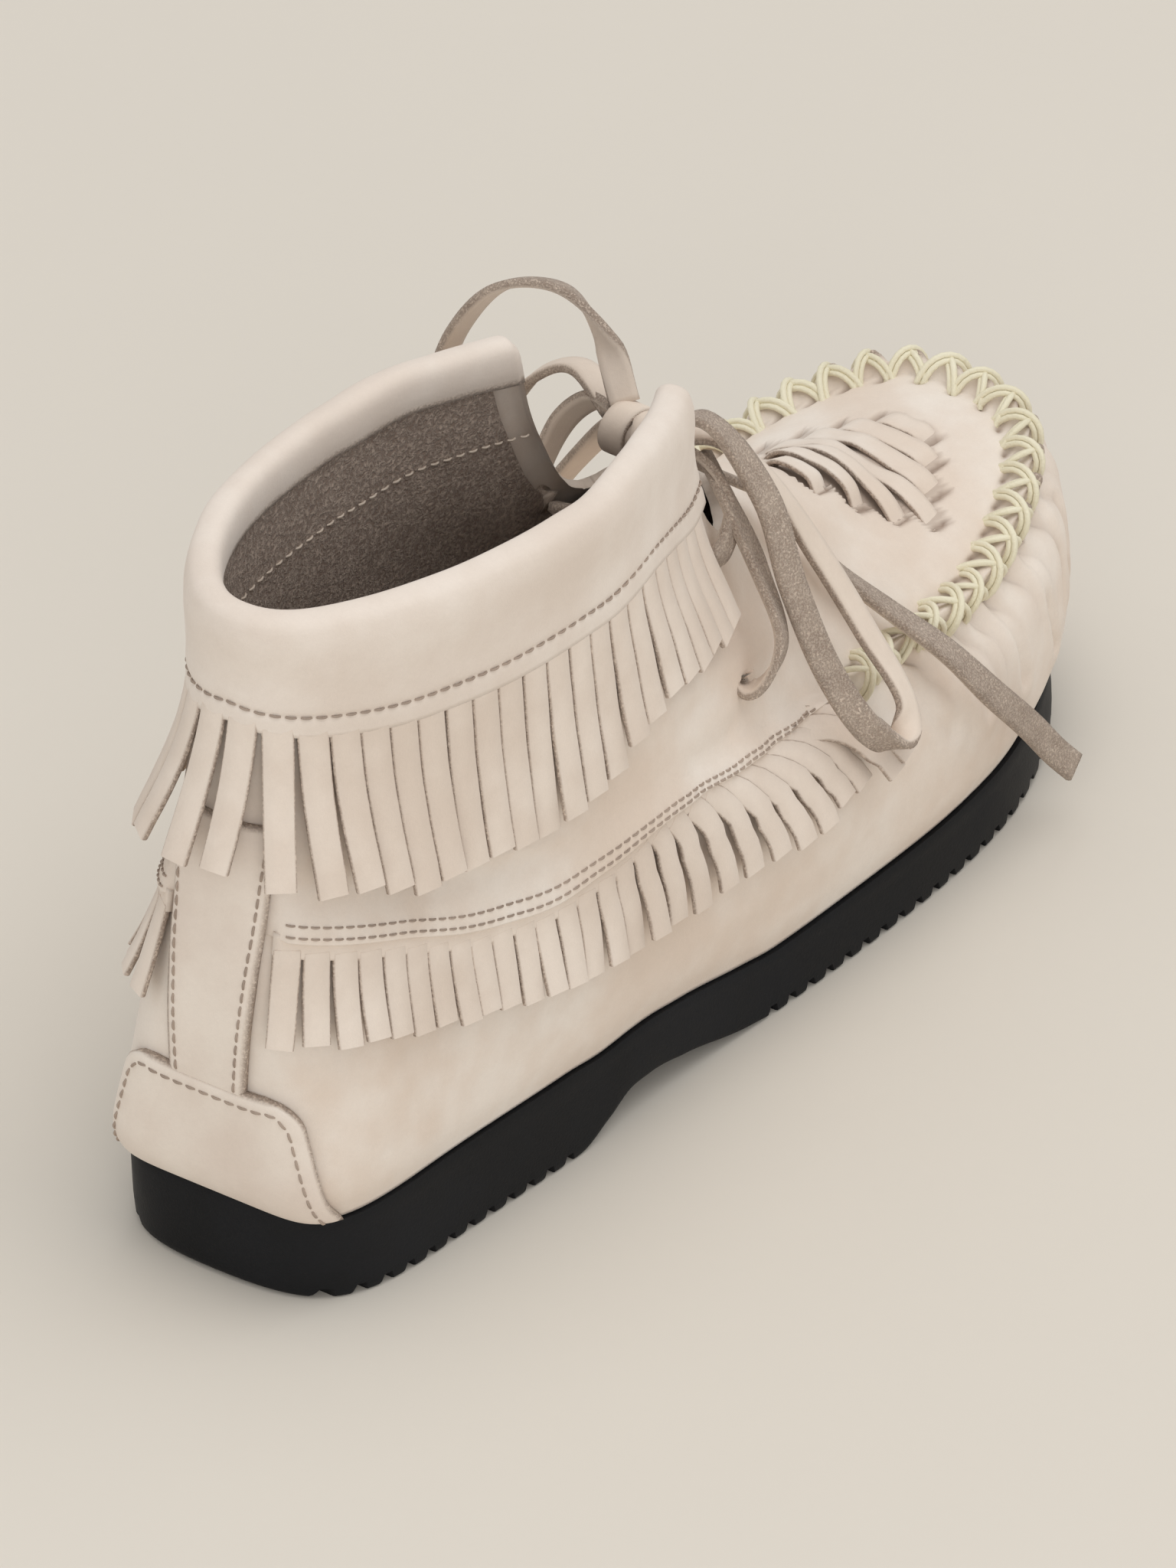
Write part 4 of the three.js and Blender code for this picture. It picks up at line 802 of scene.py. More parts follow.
# each row is a place and the way the lace's wide side looks there
LOOP_RIGHT = (
    (knot_seat(0.9, 0.2, 0.5), (-0.4, 0.3, 1)), ((15, 110, 124), (0.1, 0.3, 1)),
    ((26, 114.5, 108), (1, -0.2, 0.7)), ((33, 114, 90), (1, -0.3, 0.4)),
    ((40, 117, 70), (1, -0.3, 0.2)), ((46.5, 121.5, 57), (0.9, -0.6, -0.2)),
    ((49, 127, 52.5), (0.3, 0, -1)), ((47, 132.5, 57), (-0.7, -0.4, -0.8)),
    ((36.5, 133, 71), (-1, -0.2, -0.4)), ((28, 129, 88), (-1, -0.2, -0.5)),
    ((20.5, 121.5, 107), (-0.8, -0.5, -0.8)), ((13.5, 115, 117), (-0.3, -0.3, -1)),
    (knot_seat(1, 0.5, -0.05), (0, -0.2, -1)))
LOOP_LEFT = (
    (knot_seat(-0.6, 0.2, 0.8), (-0.8, 0.5, 0.6)), ((-8, 109.5, 134.5), (-0.6, 0.6, 1)),
    ((-17, 109, 142), (0, 0.6, 1)), ((-29, 106, 140), (-0.8, 0.3, 0.8)),
    ((-38, 104, 128), (-1, 0.2, 0.3)), ((-43, 104, 112), (-1, 0.1, 0)),
    ((-44, 107, 99), (-0.6, 0.4, -0.6)), ((-41, 112.5, 96), (0.3, 0.2, -1)),
    ((-37, 116.5, 101), (1, 0, -0.6)), ((-29, 117, 113), (0.7, 0, -1)),
    ((-17, 114.5, 121), (0.2, -0.3, -1)), (knot_seat(-1, 0.35, 0.1), (0, -0.3, -1)))
END_RIGHT = (
    (knot_seat(0.1, 0.8, -0.75), (0, 0.8, 0.7)), ((6, 119, 105.5), (0.1, 0.8, 0.8)),
    ((10, 125, 100), (0.1, 0.7, 0.8)), ((13.5, 131, 94.5), (0.1, 0.7, 0.8)),
    ((17, 139.5, 82.5), (0.2, 0.6, 0.9)), ((23, 145.5, 71), (0.3, 0.5, 1)),
    ((32, 150.5, 62.5), (0.5, 0.4, 1)), ((40.5, 155, 55), (0.8, 0.3, 0.7)),
    ((46.5, 162, 43.5), (1, 0.1, 0.3)), ((48, 173, 30), (1, 0, 0.2)),
    ((48.5, 181.5, 19), (1, 0, 0.1)), ((49.5, 186, 13.5), (1, 0, 0.1)))
END_LEFT = (
    (knot_seat(-0.9, 0.5, -0.5), (0, 0.7, 0.7)), ((-10, 117, 109), (-0.2, 0.7, 0.8)),
    ((-19, 124, 99), (-0.6, 0.5, 0.8)), ((-30, 128, 84), (-1, 0.4, 0.5)),
    ((-39, 130, 70), (-1, 0.3, 0.4)), ((-47.5, 130, 58), (-1, 0.1, 0.3)),
    ((-54, 129, 44), (-1, 0, 0.2)))


# %% The knot: the lace wrapped twice round itself
TIGHT_WIDTH = 5.6
CORE_SHARE = (0.96, 0.78, 0.78)


def joined(name, parts):
    """Several objects made one, under a new name."""
    with bpy.context.temp_override(active_object=parts[0], selected_editable_objects=parts,
                                   selected_objects=parts):
        bpy.ops.object.join()
    parts[0].name = parts[0].data.name = name
    return parts[0]


def balls(name, rows, material):
    """Round lumps as one object. A row is a place, a radius and a scale along each axis."""
    made = bmesh.new()
    for place, radius, scale in rows:
        matrix = Matrix.Translation(Vector(place) * MM) @ Matrix.Diagonal((*scale, 1))
        bmesh.ops.create_icosphere(made, subdivisions=3, radius=radius * MM, matrix=matrix)
    mesh = bpy.data.meshes.new(name)
    made.to_mesh(mesh)
    made.free()
    mesh.shade_smooth()
    mesh.materials.append(material)
    return link(name, mesh)


def wrap(name, shift, radii, tilt):
    """One turn of the lace round the knot's long axis."""
    angle = np.linspace(0, TURN, 13)
    ring = np.stack([shift + tilt * np.cos(angle), radii[0] * np.cos(angle), radii[1] * np.sin(angle)], 1)
    looks = ring * (0, 1, 1)
    return ribbon(name, KNOT_PLACE + ring, looks, 49, closed=True, grain_out=True, width=TIGHT_WIDTH)[0]


core = balls("knot_core", [(KNOT_PLACE, 0.5, KNOT_SIZE * CORE_SHARE)], lace_leather)
knot = joined("bow_knot", [wrap("wrap_a", -1.6, (4.5, 4.8), 1.2), wrap("wrap_b", 2.9, (4.0, 4.3), -1.4),
                           core])
ride(knot, "lace_leather", "lace_knot")


# %% The loops and the ends
def free_lace(name, table, count, node_name):
    """A loop or an end of the lace."""
    obj, path = ribbon(name, [row[0] for row in table], [row[1] for row in table], count)
    ride(obj, "lace_leather", node_name)


free_lace("bow_loop_right", LOOP_RIGHT, 120, "lace_loop_right")
free_lace("bow_loop_left", LOOP_LEFT, 110, "lace_loop_left")
free_lace("bow_end_right", END_RIGHT, 110, "lace_end_right")
free_lace("bow_end_left", END_LEFT, 80, "lace_end_left")

# %% [markdown]
# ## The rubber sole
# The sole is one moulded piece with a low heel, a raised arch and ribs across its tread. A
# subdivided box could be shaped into it, but its outline has to follow the leather exactly. So
# rings are set off from the last's lowest loop, more rounded and wider towards the floor, and a
# Boolean cuts the grooves out of the tread, where the CAD source has them.

# %% Rings of the sole
# how far out, how much softer at the corners, and the share of the way down to the floor
SOLE_RINGS = ((1.7, 9.4, 1.0), (2.25, 9.4, 0.985), (2.55, 9.4, 0.955), (2.6, 9.2, 0.9), (2.45, 8, 0.7),
              (2.2, 7, 0.5), (1.8, 5.6, 0.32), (1.5, 4.4, 0.17), (1.35, 3, 0.07), (0.9, 1.5, 0.0),
              (-1.5, 1, 0.0))
feather = last_rows[0][:, :2]


def sole_ring(spread_out, softness, drop):
    """The last's lowest loop, set off sideways, with its short waves filtered out."""
    spacing = np.linalg.norm(np.diff(feather, axis=0), axis=1).mean()
    wave = TURN * np.fft.fftfreq(RING) / spacing
    keep = np.exp(-(softness * wave) ** 2 / 2)
    loop = np.stack([np.fft.ifft(np.fft.fft(feather[:, k]) * keep).real for k in range(2)], 1)
    along = unit(np.roll(loop, -1, 0) - np.roll(loop, 1, 0))
    loop = loop + np.stack([along[:, 1], -along[:, 0]], 1) * spread_out
    top, under = sole_top_at(loop[:, 1]), under_at(loop[:, 1])
    return np.concatenate([loop, (top + (under - top) * drop)[:, None]], 1)


rings = np.stack([sole_ring(*row) for row in SOLE_RINGS])
faces = grid_faces(len(rings), RING, around=True).tolist()
# the lowest and the highest ring are closed by bands of faces from side to side
for base, upwards in ((0, False), ((len(rings) - 1) * RING, True)):
    for i in range(HALF_STRIDES):
        band = [base + i, base + i + 1, base + (RING - i - 1), base + (RING - i) % RING]
        band = list(dict.fromkeys(band))
        faces.append(band if upwards else band[::-1])
sole = make_piece("rubber_sole", rings, faces, [sole_rubber])

# %% Grooves across the tread
RIB_PITCH = 5.7
RIBBED_SHARES = ((0.02, 0.27), (0.47, 0.985))
# a groove's section along the shoe and up, and how far it reaches past the sole's sides
GROOVE = ((-2.1, -1.0), (2.1, -1.0), (0.9, 2.3), (-0.9, 2.3))
GROOVE_REACH = 65
SHARP_ANGLE = math.radians(38)
GROOVE_FACES = np.array([[3, 2, 1, 0], [4, 5, 6, 7], [0, 1, 5, 4], [1, 2, 6, 5], [2, 3, 7, 6], [3, 0, 4, 7]])


def baked(obj):
    """Gives an object the mesh that its modifiers make, and removes them."""
    obj.data = bpy.data.meshes.new_from_object(obj.evaluated_get(bpy.context.evaluated_depsgraph_get()))
    obj.modifiers.clear()


groove_points, groove_faces = [], []
for low, high in RIBBED_SHARES:
    first = math.ceil((SHOE_LENGTH * low - ORIGIN_FROM_BACK) / RIB_PITCH)
    final = math.floor((SHOE_LENGTH * high - ORIGIN_FROM_BACK) / RIB_PITCH)
    for number in range(first, final + 1):
        y = (number + 0.5) * RIB_PITCH
        tilt = math.atan2(float(under_at(y + 1) - under_at(y - 1)), 2)
        groove_faces += (GROOVE_FACES + len(groove_points)).tolist()
        for x in (-GROOVE_REACH, GROOVE_REACH):
            for a, b in GROOVE:
                groove_points.append((x, y + a * math.cos(tilt) - b * math.sin(tilt),
                                      float(under_at(y)) + a * math.sin(tilt) + b * math.cos(tilt)))
grooves = make_piece("grooves", groove_points, groove_faces, smooth=False)
cut = sole.modifiers.new("tread", "BOOLEAN")
cut.operation, cut.solver, cut.object = "DIFFERENCE", "EXACT", grooves
baked(sole)
bpy.data.objects.remove(grooves)
sole.data.set_sharp_from_angle(angle=SHARP_ANGLE)
ride(sole, "sole_rubber", "outsole")
print("sole reaches, mm:", [round(v / MM, 1) for v in sole.dimensions])

# %% [markdown]
# ## The insole
# The insole lies unseen at the bottom of the shoe. Its CAD solid has the right shape already,
# so it stays and only gets a suede finish.

# %% Insole finish
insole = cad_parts["insole"].data
insole.materials.clear()
insole.materials.append(lining_suede)
print("insole:", insole.materials[0].name)

# %% [markdown]
# ## The upper
# The upper is one skin of leather over the last. A plain shell would look moulded, so its skin
# is offset in and out by a function: the puckered seam round the toe, pleats below it, the
# lapped seam along each side, small pits at the lacing and creases. The grid is
# finest round the toe. The throat is cut out of the finished grid, and a rim closes its edges.

# %% The side seam and the apron seam as one line
# turn from the back of the heel, fall below the collar in shares of SHAFT_RISE, hang of the
# fringe in shares of SIDE_STRIP_LENGTH
SIDE_SEAM = ((0.12, 0.511, 0.97), (0.4, 0.571, 0.88), (0.68, 0.649, 0.78), (0.95, 0.69, 0.9),
             (1.32, 0.71, 1.2), (1.62, 0.75, 1.35), (1.76, 0.78, 1.3), (1.9, 0.845, 1.1),
             (2.03, 0.911, 0.9))
SEAMS_MEET_OVER = 0.42
seam_fall = smooth_through(column(SIDE_SEAM, 0), column(SIDE_SEAM, 1))
side_hang = smooth_through(column(SIDE_SEAM, 0), column(SIDE_SEAM, 2))
signed_turns = np.linspace(-PI, PI, 1441)
side_levels = level_below(signed_turns, COLLAR, SHAFT_RISE * seam_fall(np.abs(signed_turns)))
seam_blend = ease((np.abs(signed_turns) - SIDE_SEAM[-1][0]) / SEAMS_MEET_OVER)
seam_levels = side_levels + (SEAM - side_levels) * seam_blend


def signed(turn):
    """A turn counted from the back of the heel, negative along the inner side."""
    return (np.asarray(turn, float) + PI) % TURN - PI


def seam_level(turn):
    """The level of the sewn line: the side seam, which runs into the apron seam."""
    return np.interp(signed(turn), signed_turns, seam_levels)


def seam_place(turn):
    return last_point(turn, seam_level(turn))


ROUGH_PITCH = 7.6
SEAM_START_Y = 0.625 * SHOE_LENGTH - ORIGIN_FROM_BACK
HALF_SEAM = 2048
seam_turns = np.linspace(0, TURN, 2 * HALF_SEAM + 1)
seam_line = seam_place(seam_turns)
seam_reach = reach_along(seam_line)
laced_from, laced_to = (float(np.interp(SEAM_START_Y * way, seam_line[half, 1] * way, seam_turns[half]))
                        for way, half in ((1, slice(0, HALF_SEAM + 1)), (-1, slice(HALF_SEAM, None))))
reach_from, reach_to = np.interp([laced_from, laced_to], seam_turns, seam_reach)
crosses_count = round((reach_to - reach_from) / ROUGH_PITCH)
cross_pitch = (reach_to - reach_from) / crosses_count
print("laced seam:", round(reach_to - reach_from), "mm with", crosses_count, "crosses")


def seam_phase(turn):
    """How many pitches of the lacing lie between its outer end and a turn."""
    return (np.interp(np.asarray(turn) % TURN, seam_turns, seam_reach) - reach_from) / cross_pitch


# %% Creases and the woven diamond
def scattered(index, salt=0):
    """A fixed number from 0 to 1 for each index."""
    return np.modf(np.abs(np.sin(np.asarray(index, float) * 12.9898 + salt * 78.233) * 43758.5453))[0]


# places on the leather as side, along and height, then width and depth of the trough
CREASES = (
    ((1, 196, 50), (1, 199, 38), (1, 201, 27), 1.3, 1.3),
    ((1, 208, 54), (1, 209, 42), (1, 207, 32), 1.1, 1.0),
    ((1, 216, 50), (1, 214, 40), (1, 215, 31), 1.2, 0.8),
    ((1, 180, 51), (1, 184, 40), (1, 185, 30), 1.6, 1.1),
    ((1, 163, 50), (1, 165, 42), (1, 170, 33), 1.9, 0.9),
    ((1, 147, 50), (1, 150, 43), (1, 156, 36), 2.2, 0.8),
    ((-1, 150, 50), (-1, 154, 42), (-1, 160, 34), 2.4, 0.6),
    ((-1, 178, 51), (-1, 181, 40), (-1, 183, 30), 2.6, 0.8),
    ((-1, 200, 52), (-1, 203, 40), (-1, 203, 29), 2.2, 0.8),
    ((1, 97, 76), (1, 88, 80), (1, 76, 81), 2.6, 0.45),
    ((1, 99, 70), (1, 90, 67), (1, 78, 69), 3.0, 0.45),
    ((-1, 97, 76), (-1, 88, 80), (-1, 76, 81), 2.6, 0.45),
    ((1, 60, 34), (1, 74, 37), (1, 90, 35), 3.4, 0.35),
    ((1, 20, 60), (1, 8, 52), (1, -6, 49), 3.2, 0.35),
    ((-1, 20, 60), (-1, 8, 52), (-1, -6, 49), 3.2, 0.35),
    ((1, 104, 60), (1, 112, 50), (1, 116, 40), 3.0, 0.45),
    ((-1, 104, 60), (-1, 112, 50), (-1, 116, 40), 3.0, 0.45),
)
DIAMOND_CENTRE = (-2.0, 184.0)
DIAMOND_PITCH = 6.3
DIAMOND_REACH = (20.5, 16.0, 11.0, 6.0)


def distance_to_path(points, path):
    """How far each point lies from a chain of straight stretches."""
    best = np.full(points.shape[:-1], 1e9)
    for a, b in zip(path[:-1], path[1:]):
        way = b - a
        t = np.clip(((points - a) @ way) / (way @ way), 0, 1)
        best = np.minimum(best, np.linalg.norm(points - a - t[..., None] * way, axis=-1))
    return best


def crease_path(rows):
    return np.array([last_point(*beside_last(*row)) for row in rows])


crease_paths = [(crease_path(row[:-2]), row[-2], row[-1]) for row in CREASES]


# %% How far the leather stands off the last
BAND_LAP = 2.7
BAND_RUN = 13.0
BACKSTAY_HALF = 11.0
BEAD_HEIGHT = 2.9
BEAD_INSIDE, BEAD_OUTSIDE = 3.4, 4.4
HOLE_INSIDE, HOLE_OUTSIDE = 4.1, -5.6
TOE_FROM_Y, TOE_RUN = 178, 30
WAVE_HEIGHT = 0.22


def laced_relief(turn, level, points, seam):
    """Offset, raw edge and painted shade at the laced seam and on the pleats below it."""
    away = np.linalg.norm(points - seam, axis=-1) * np.sign(level - seam_level(turn))
    phase = seam_phase(turn)
    index, between = np.floor(phase + 0.5), np.floor(phase)
    off_hole, off_pinch = (phase - index) * cross_pitch, (phase - between - 0.5) * cross_pitch
    laced = ease((seam[..., 1] - SEAM_START_Y) / 8)
    # the seam is a bead with one lobe for each cross, and the lobes are plump only at the toe
    lobe = 0.5 - 0.5 * np.cos(TURN * phase)
    toe = np.maximum(ease((seam[..., 1] - TOE_FROM_Y) / TOE_RUN), 0.6 * (points[..., 0] < 0))
    outside = BEAD_OUTSIDE + (0.3 + 3.0 * toe) * lobe
    shifted = away + 1.7 * toe * lobe
    bead = ease(1 - np.where(shifted < 0, -shifted / outside, shifted / BEAD_INSIDE))
    height = BEAD_HEIGHT + (0.4 + 2.3 * toe) * (lobe - 0.35)
    offset = laced * height * bead
    raw = laced * ease(toe * 1.6) * ease((lobe - 0.25) / 0.3)
    raw = raw * ease((away + 7.2) / 1.0) * ease((0.2 - away) / 0.9)
    # a sharp crease runs down from between two lobes, each of its own depth, lean and length
    crease = np.exp(-np.abs(off_pinch - 0.25 * (away + 4) * (scattered(between, 2) - 0.5)) / 0.9)
    depth = (0.9 + 1.7 * scattered(between) ** 1.5) * laced
    fall = ease((-away - 4.0) / 1.6) * np.exp(np.minimum(0, away + 5.5) / (4 + 9 * scattered(between, 1)))
    offset += laced * fall * (0.7 * (1 - lobe) - depth * crease)
    # the cord goes through the leather in small pits on both sides of the bead
    pit = np.exp(-(off_hole ** 2 + (away - HOLE_INSIDE) ** 2) / 1.3)
    pit_out = np.exp(-(off_pinch ** 2 + (away - HOLE_OUTSIDE) ** 2) / 1.4)
    offset -= laced * (1.1 * pit + 0.9 * pit_out)
    # painted shade: the pits and the troughs of the creases are darkened
    deep = laced * np.clip(0.95 * pit + 0.8 * pit_out + 0.3 * depth * crease * fall, 0, 1)
    # further back the shaft laps over the side of the foot with a step
    lap = ease((SEAM_START_Y - 2 - seam[..., 1]) / 9)
    lap = lap * ease((np.linalg.norm(seam - seam_place(0), axis=-1) - BACKSTAY_HALF) / 2.0)
    offset += lap * BAND_LAP * (1 - ease(away / BAND_RUN)) * (away > -0.02)
    return offset, raw, deep


def diamond_relief(level, points):
    """How far the skin is sunk, and how dark its painted shade is, under the woven strips and at their
    slots.
    """
    x, y = points[..., 0] - DIAMOND_CENTRE[0], points[..., 1] - DIAMOND_CENTRE[1]
    line = np.round(y / DIAMOND_PITCH)
    reach = np.select([np.abs(line) == k for k in range(4)], DIAMOND_REACH, -9.0)
    woven = (level > SEAM + 0.5) * ease((reach + 0.4 - np.abs(x)) / 0.8)
    slot = (level > SEAM + 0.5) * (reach > 0) * np.exp(-((np.abs(x) - reach - 0.9) / 0.75) ** 2)
    slot = slot * ease((0.46 - np.abs(y / DIAMOND_PITCH - line)) / 0.1)
    rear = line < 0
    # the second value is painted shade under the strips and in the slots
    return (np.maximum(woven * np.where(rear, 1.1, 0.35), 1.2 * slot),
            np.maximum(woven * np.where(rear, 0.7, 0.5), slot))


def skin_relief(turn, level):
    """The offset of the upper's skin, how much raw edge shows, and its painted shade."""
    turn, level = np.broadcast_arrays(np.asarray(turn, float), np.asarray(level, float))
    points = last_point(turn, level)
    offset, raw, deep = laced_relief(turn, level, points, seam_place(turn))
    sunk, dark = diamond_relief(level, points)
    offset -= sunk
    # each crease is a trough with a low ridge beside it
    for path, width, amount in crease_paths:
        gap = distance_to_path(points, path)
        offset -= amount * (np.exp(-(gap / width) ** 2) - 0.35 * np.exp(-((gap - 1.9 * width) / width) ** 2))
    # long, low waves keep the leather from looking moulded
    a, b, c = (points[..., k] for k in range(3))
    soft = (np.sin(a * 0.11 + b * 0.07 + 1.3) * np.sin(b * 0.09 - c * 0.12 + 0.4)
            + 0.6 * np.sin(a * 0.19 - c * 0.17) * np.sin(b * 0.21 + 2.1))
    offset += WAVE_HEIGHT * soft * ease((level - 0.3) / 0.8)
    return offset, raw, np.maximum(deep, dark)


def skin_point(turn, level, lift=0.0):
    """A point on the finished skin, and the outward direction there."""
    offset, _, _ = skin_relief(turn, level)
    return off_last(turn, level, offset + lift), last_normal(turn, level)


# %% The grid of the skin
WALL = 2.2
FINE_COLUMN, COARSE_COLUMN = 0.85, 2.0
# levels from, levels to, and the step of the rows between them
ROW_BANDS = ((0, 3.6, 0.09), (3.6, 3.96, 0.03), (3.96, 3.985, 0.025), (3.985, 4.0, 0.015),
             (4.0, 4.5, 0.025), (4.5, 6.8, 0.05), (6.8, 9, 0.11))


def skin_turns(fine, coarse):
    """Turns of the columns, closer together round the toe."""
    strides = np.diff(seam_reach)
    y = (seam_line[1:, 1] + seam_line[:-1, 1]) / 2
    spacing = coarse + (fine - coarse) * ease((y - 105) / 25)
    measure = np.concatenate([[0], np.cumsum(strides / spacing)])
    count = int(measure[-1])
    return np.interp(np.arange(count) * measure[-1] / count, measure, seam_turns)


skin_levels = np.concatenate([np.arange(a, b - 1e-6, step) for a, b, step in ROW_BANDS] + [[COLLAR]])
turns = skin_turns(FINE_COLUMN, COARSE_COLUMN)
level_grid, turn_grid = np.meshgrid(skin_levels, turns, indexing="ij")
# the rows are pushed up and down so that one of them runs exactly along the sewn line
sewn = seam_level(turn_grid)
level_grid = np.where(level_grid < SEAM, level_grid * sewn / SEAM,
                      sewn + (level_grid - SEAM) * (COLLAR - sewn) / (COLLAR - SEAM))
relief, raw_mask, painted_shade_mask = skin_relief(turn_grid, level_grid)
skin = off_last(turn_grid, level_grid, relief)
upper = make_piece("upper_shell", skin, grid_faces(*turn_grid.shape, around=True), [upper_leather])
store(upper, "raw", raw_mask)
# the painted shade is stored as the deep attribute, which the upper's material reads
store(upper, "deep", painted_shade_mask)
lining_levels = np.linspace(0, COLLAR, 56)
level_grid, turn_grid = np.meshgrid(lining_levels, turns[::3], indexing="ij")
lining = make_piece("lining", off_last(turn_grid, level_grid, -WALL),
                    grid_faces(*turn_grid.shape, around=True)[:, ::-1], [lining_suede])
print("skin:", skin.shape, "lining:", turn_grid.shape)

# %% Cut the throat
THROAT_WIDTH = 33
THROAT_END_Y = 160 - ORIGIN_FROM_BACK
THROAT_FLOOR = 72
THROAT_BACK_Y = 50
CUT_MARGIN = 3.5
throat_x = float(last_point(PI, COLLAR)[0])
half_throat = THROAT_WIDTH / 2
round_end = [(throat_x + half_throat * math.cos(a), THROAT_END_Y - half_throat + half_throat * math.sin(a))
             for a in np.linspace(0, PI, 15)]
outline = [(throat_x + half_throat, THROAT_BACK_Y), *round_end, (throat_x - half_throat, THROAT_BACK_Y)]


def without(mesh, doomed, obj):
    """Writes an edited mesh back to its object, without some of its faces, smoothly shaded."""
    bmesh.ops.delete(mesh, geom=doomed, context="FACES")
    mesh.to_mesh(obj.data)
    mesh.free()
    obj.data.shade_smooth()


def cut_throat(obj):
    """Cuts along the throat's outline, seen from above, and removes what is inside."""
    mesh = bmesh.new()
    mesh.from_mesh(obj.data)
    for (x0, y0), (x1, y1) in zip(outline[:-1], outline[1:]):
        near = []
        for f in mesh.faces:
            x, y, z = (v / MM for v in f.calc_center_median())
            if (min(x0, x1) - CUT_MARGIN < x < max(x0, x1) + CUT_MARGIN
                    and min(y0, y1) - CUT_MARGIN < y < max(y0, y1) + CUT_MARGIN and z > THROAT_FLOOR - 4):
                near.append(f)
        geometry = {v for f in near for v in f.verts} | {e for f in near for e in f.edges} | set(near)
        bmesh.ops.bisect_plane(mesh, geom=list(geometry), dist=1e-7, plane_co=Vector((x0, y0, 0)) * MM,
                               plane_no=Vector((y1 - y0, -(x1 - x0), 0)).normalized())
    doomed = []
    for f in mesh.faces:
        x, y, z = (v / MM for v in f.calc_center_median())
        beyond = y - (THROAT_END_Y - half_throat)
        inside = abs(x - throat_x) < half_throat and y > THROAT_BACK_Y + 10 and (
            beyond < 0 or math.hypot(x - throat_x, beyond) < half_throat * 0.995)
        if inside and z > THROAT_FLOOR:
            doomed.append(f)
    without(mesh, doomed, obj)


for piece in (upper, lining):
    cut_throat(piece)
    print(piece.name, "has", len(piece.data.polygons), "faces left")

# %% Punch the eyelets
# shares of SHOE_LENGTH from the back and of SHAFT_RISE above the sole
EYELETS = ((0.504, 0.4286), (0.515, 0.619))
EYELET_RADIUS = 2.25
HEEL_THICKNESS = 19
eyelets = []
for along, rise in EYELETS:
    for side in (1, -1):
        spot = beside_last(side, SHOE_LENGTH * along - ORIGIN_FROM_BACK, HEEL_THICKNESS + SHAFT_RISE * rise)
        centre, normal = skin_point(*spot)
        eyelets.append((centre, normal, last_point(*spot)))
low_right, low_left, high_right, high_left = eyelets


def punch(obj, centre, normal, radius):
    """Pushes the points inside a circle out onto it, and removes the faces left within."""
    co = np.empty(len(obj.data.vertices) * 3)
    obj.data.vertices.foreach_get("co", co)
    co = co.reshape(-1, 3) / MM
    away = co - centre
    off = away @ normal
    flat = away - off[:, None] * normal
    distance = np.linalg.norm(flat, axis=1)
    inside = (distance < radius) & (np.abs(off) < 6)
    co[inside] += flat[inside] * (radius / np.maximum(distance[inside], 1e-3) - 1)[:, None]
    obj.data.vertices.foreach_set("co", (co * MM).ravel())
    mesh = bmesh.new()
    mesh.from_mesh(obj.data)
    without(mesh, [f for f in mesh.faces if all(inside[v.index] for v in f.verts)], obj)


for centre, normal, _ in eyelets:
    punch(upper, centre, normal, EYELET_RADIUS)
rim = upper.modifiers.new("rim", "SOLIDIFY")
rim.thickness, rim.offset, rim.use_rim_only, rim.use_rim = WALL * MM, -1, True, True
baked(upper)
upper.data.shade_smooth()
ride(upper, "upper_nubuck", "upper")
ride(lining, "insole_suede")

# %% [markdown]
# ## The cuff
# The top of the shaft is a band of soft leather folded over the collar, with a plump roll along
# its edge and one row of stitches above its fringe. Each station of its section is a distance
# down from the collar and an offset from the last, and a smooth path runs through them, so the
# roll stays round all the way. Its columns end exactly at the throat's two sides.

# %% Sections of the cuff
CUFF_BAND = 20
CUFF_TURN_IN = 5
CUFF_HEADER = 5
# turn from the back of the heel, then shares of CUFF_BAND and of the length of its strips
CUFF_DEPTHS = ((0, 0.8, 0.88), (0.38, 0.92, 0.96), (0.8, 1.01, 1.05), (1.25, 1.03, 1.08),
               (1.8, 1.03, 0.8), (2.45, 1.16, 0.75))
cuff_depth = smooth_through(column(CUFF_DEPTHS, 0), column(CUFF_DEPTHS, 1))
cuff_hang = smooth_through(column(CUFF_DEPTHS, 0), column(CUFF_DEPTHS, 2))
LEATHER = 1.8
LOOSE_GAP = 0.57
OUT = FIT_GAP + LEATHER
INNER = -(WALL + FIT_GAP)
# each station: distance down from the collar, up where negative, and offset from the last
CUFF_UNDER = ((CUFF_TURN_IN, INNER), (-0.3, INNER), (-0.9, -WALL / 2), (-0.3, 0.4), (5, 0.6), (10, 0.5),
              (15, 0.45), (CUFF_BAND, 0.45), (CUFF_BAND + CUFF_HEADER, 0.45))
CUFF_OVER = ((CUFF_TURN_IN, INNER - 0.9), (1.4, INNER - 1.2), (-2.8, -2.9), (-4.1, -0.9),
             (-3.0, OUT + 0.5), (1.0, OUT + 1.8), (5, OUT + 1.6), (10, OUT + 0.8), (14.5, OUT + 0.3),
             (CUFF_BAND - 1.2, OUT + 0.1), (CUFF_BAND, OUT - 0.25), (CUFF_BAND + 1.2, OUT + 0.05),
             (CUFF_BAND + CUFF_HEADER, OUT))
CUFF_COLUMNS, UNDER_ROWS, OVER_ROWS = 241, 24, 46
END_CROWDING = 0.985
CUFF_HALF_LENGTH = 150
THIN_END, THIN_RUN = 0.45, 2.2
CUFF_MIDDLE_Y = 46
PUFF_HEIGHT = 0.3
RAW_LIP = 0.6


def end_turn(level, side, clear=half_throat):
    """The turn at which a level meets the plane of the throat's side."""
    turns = np.linspace(0.6, 1, 400) * PI * side
    x = (last_point(turns, level)[:, 0] - throat_x) * side
    return float(np.interp(-clear, -x, turns))


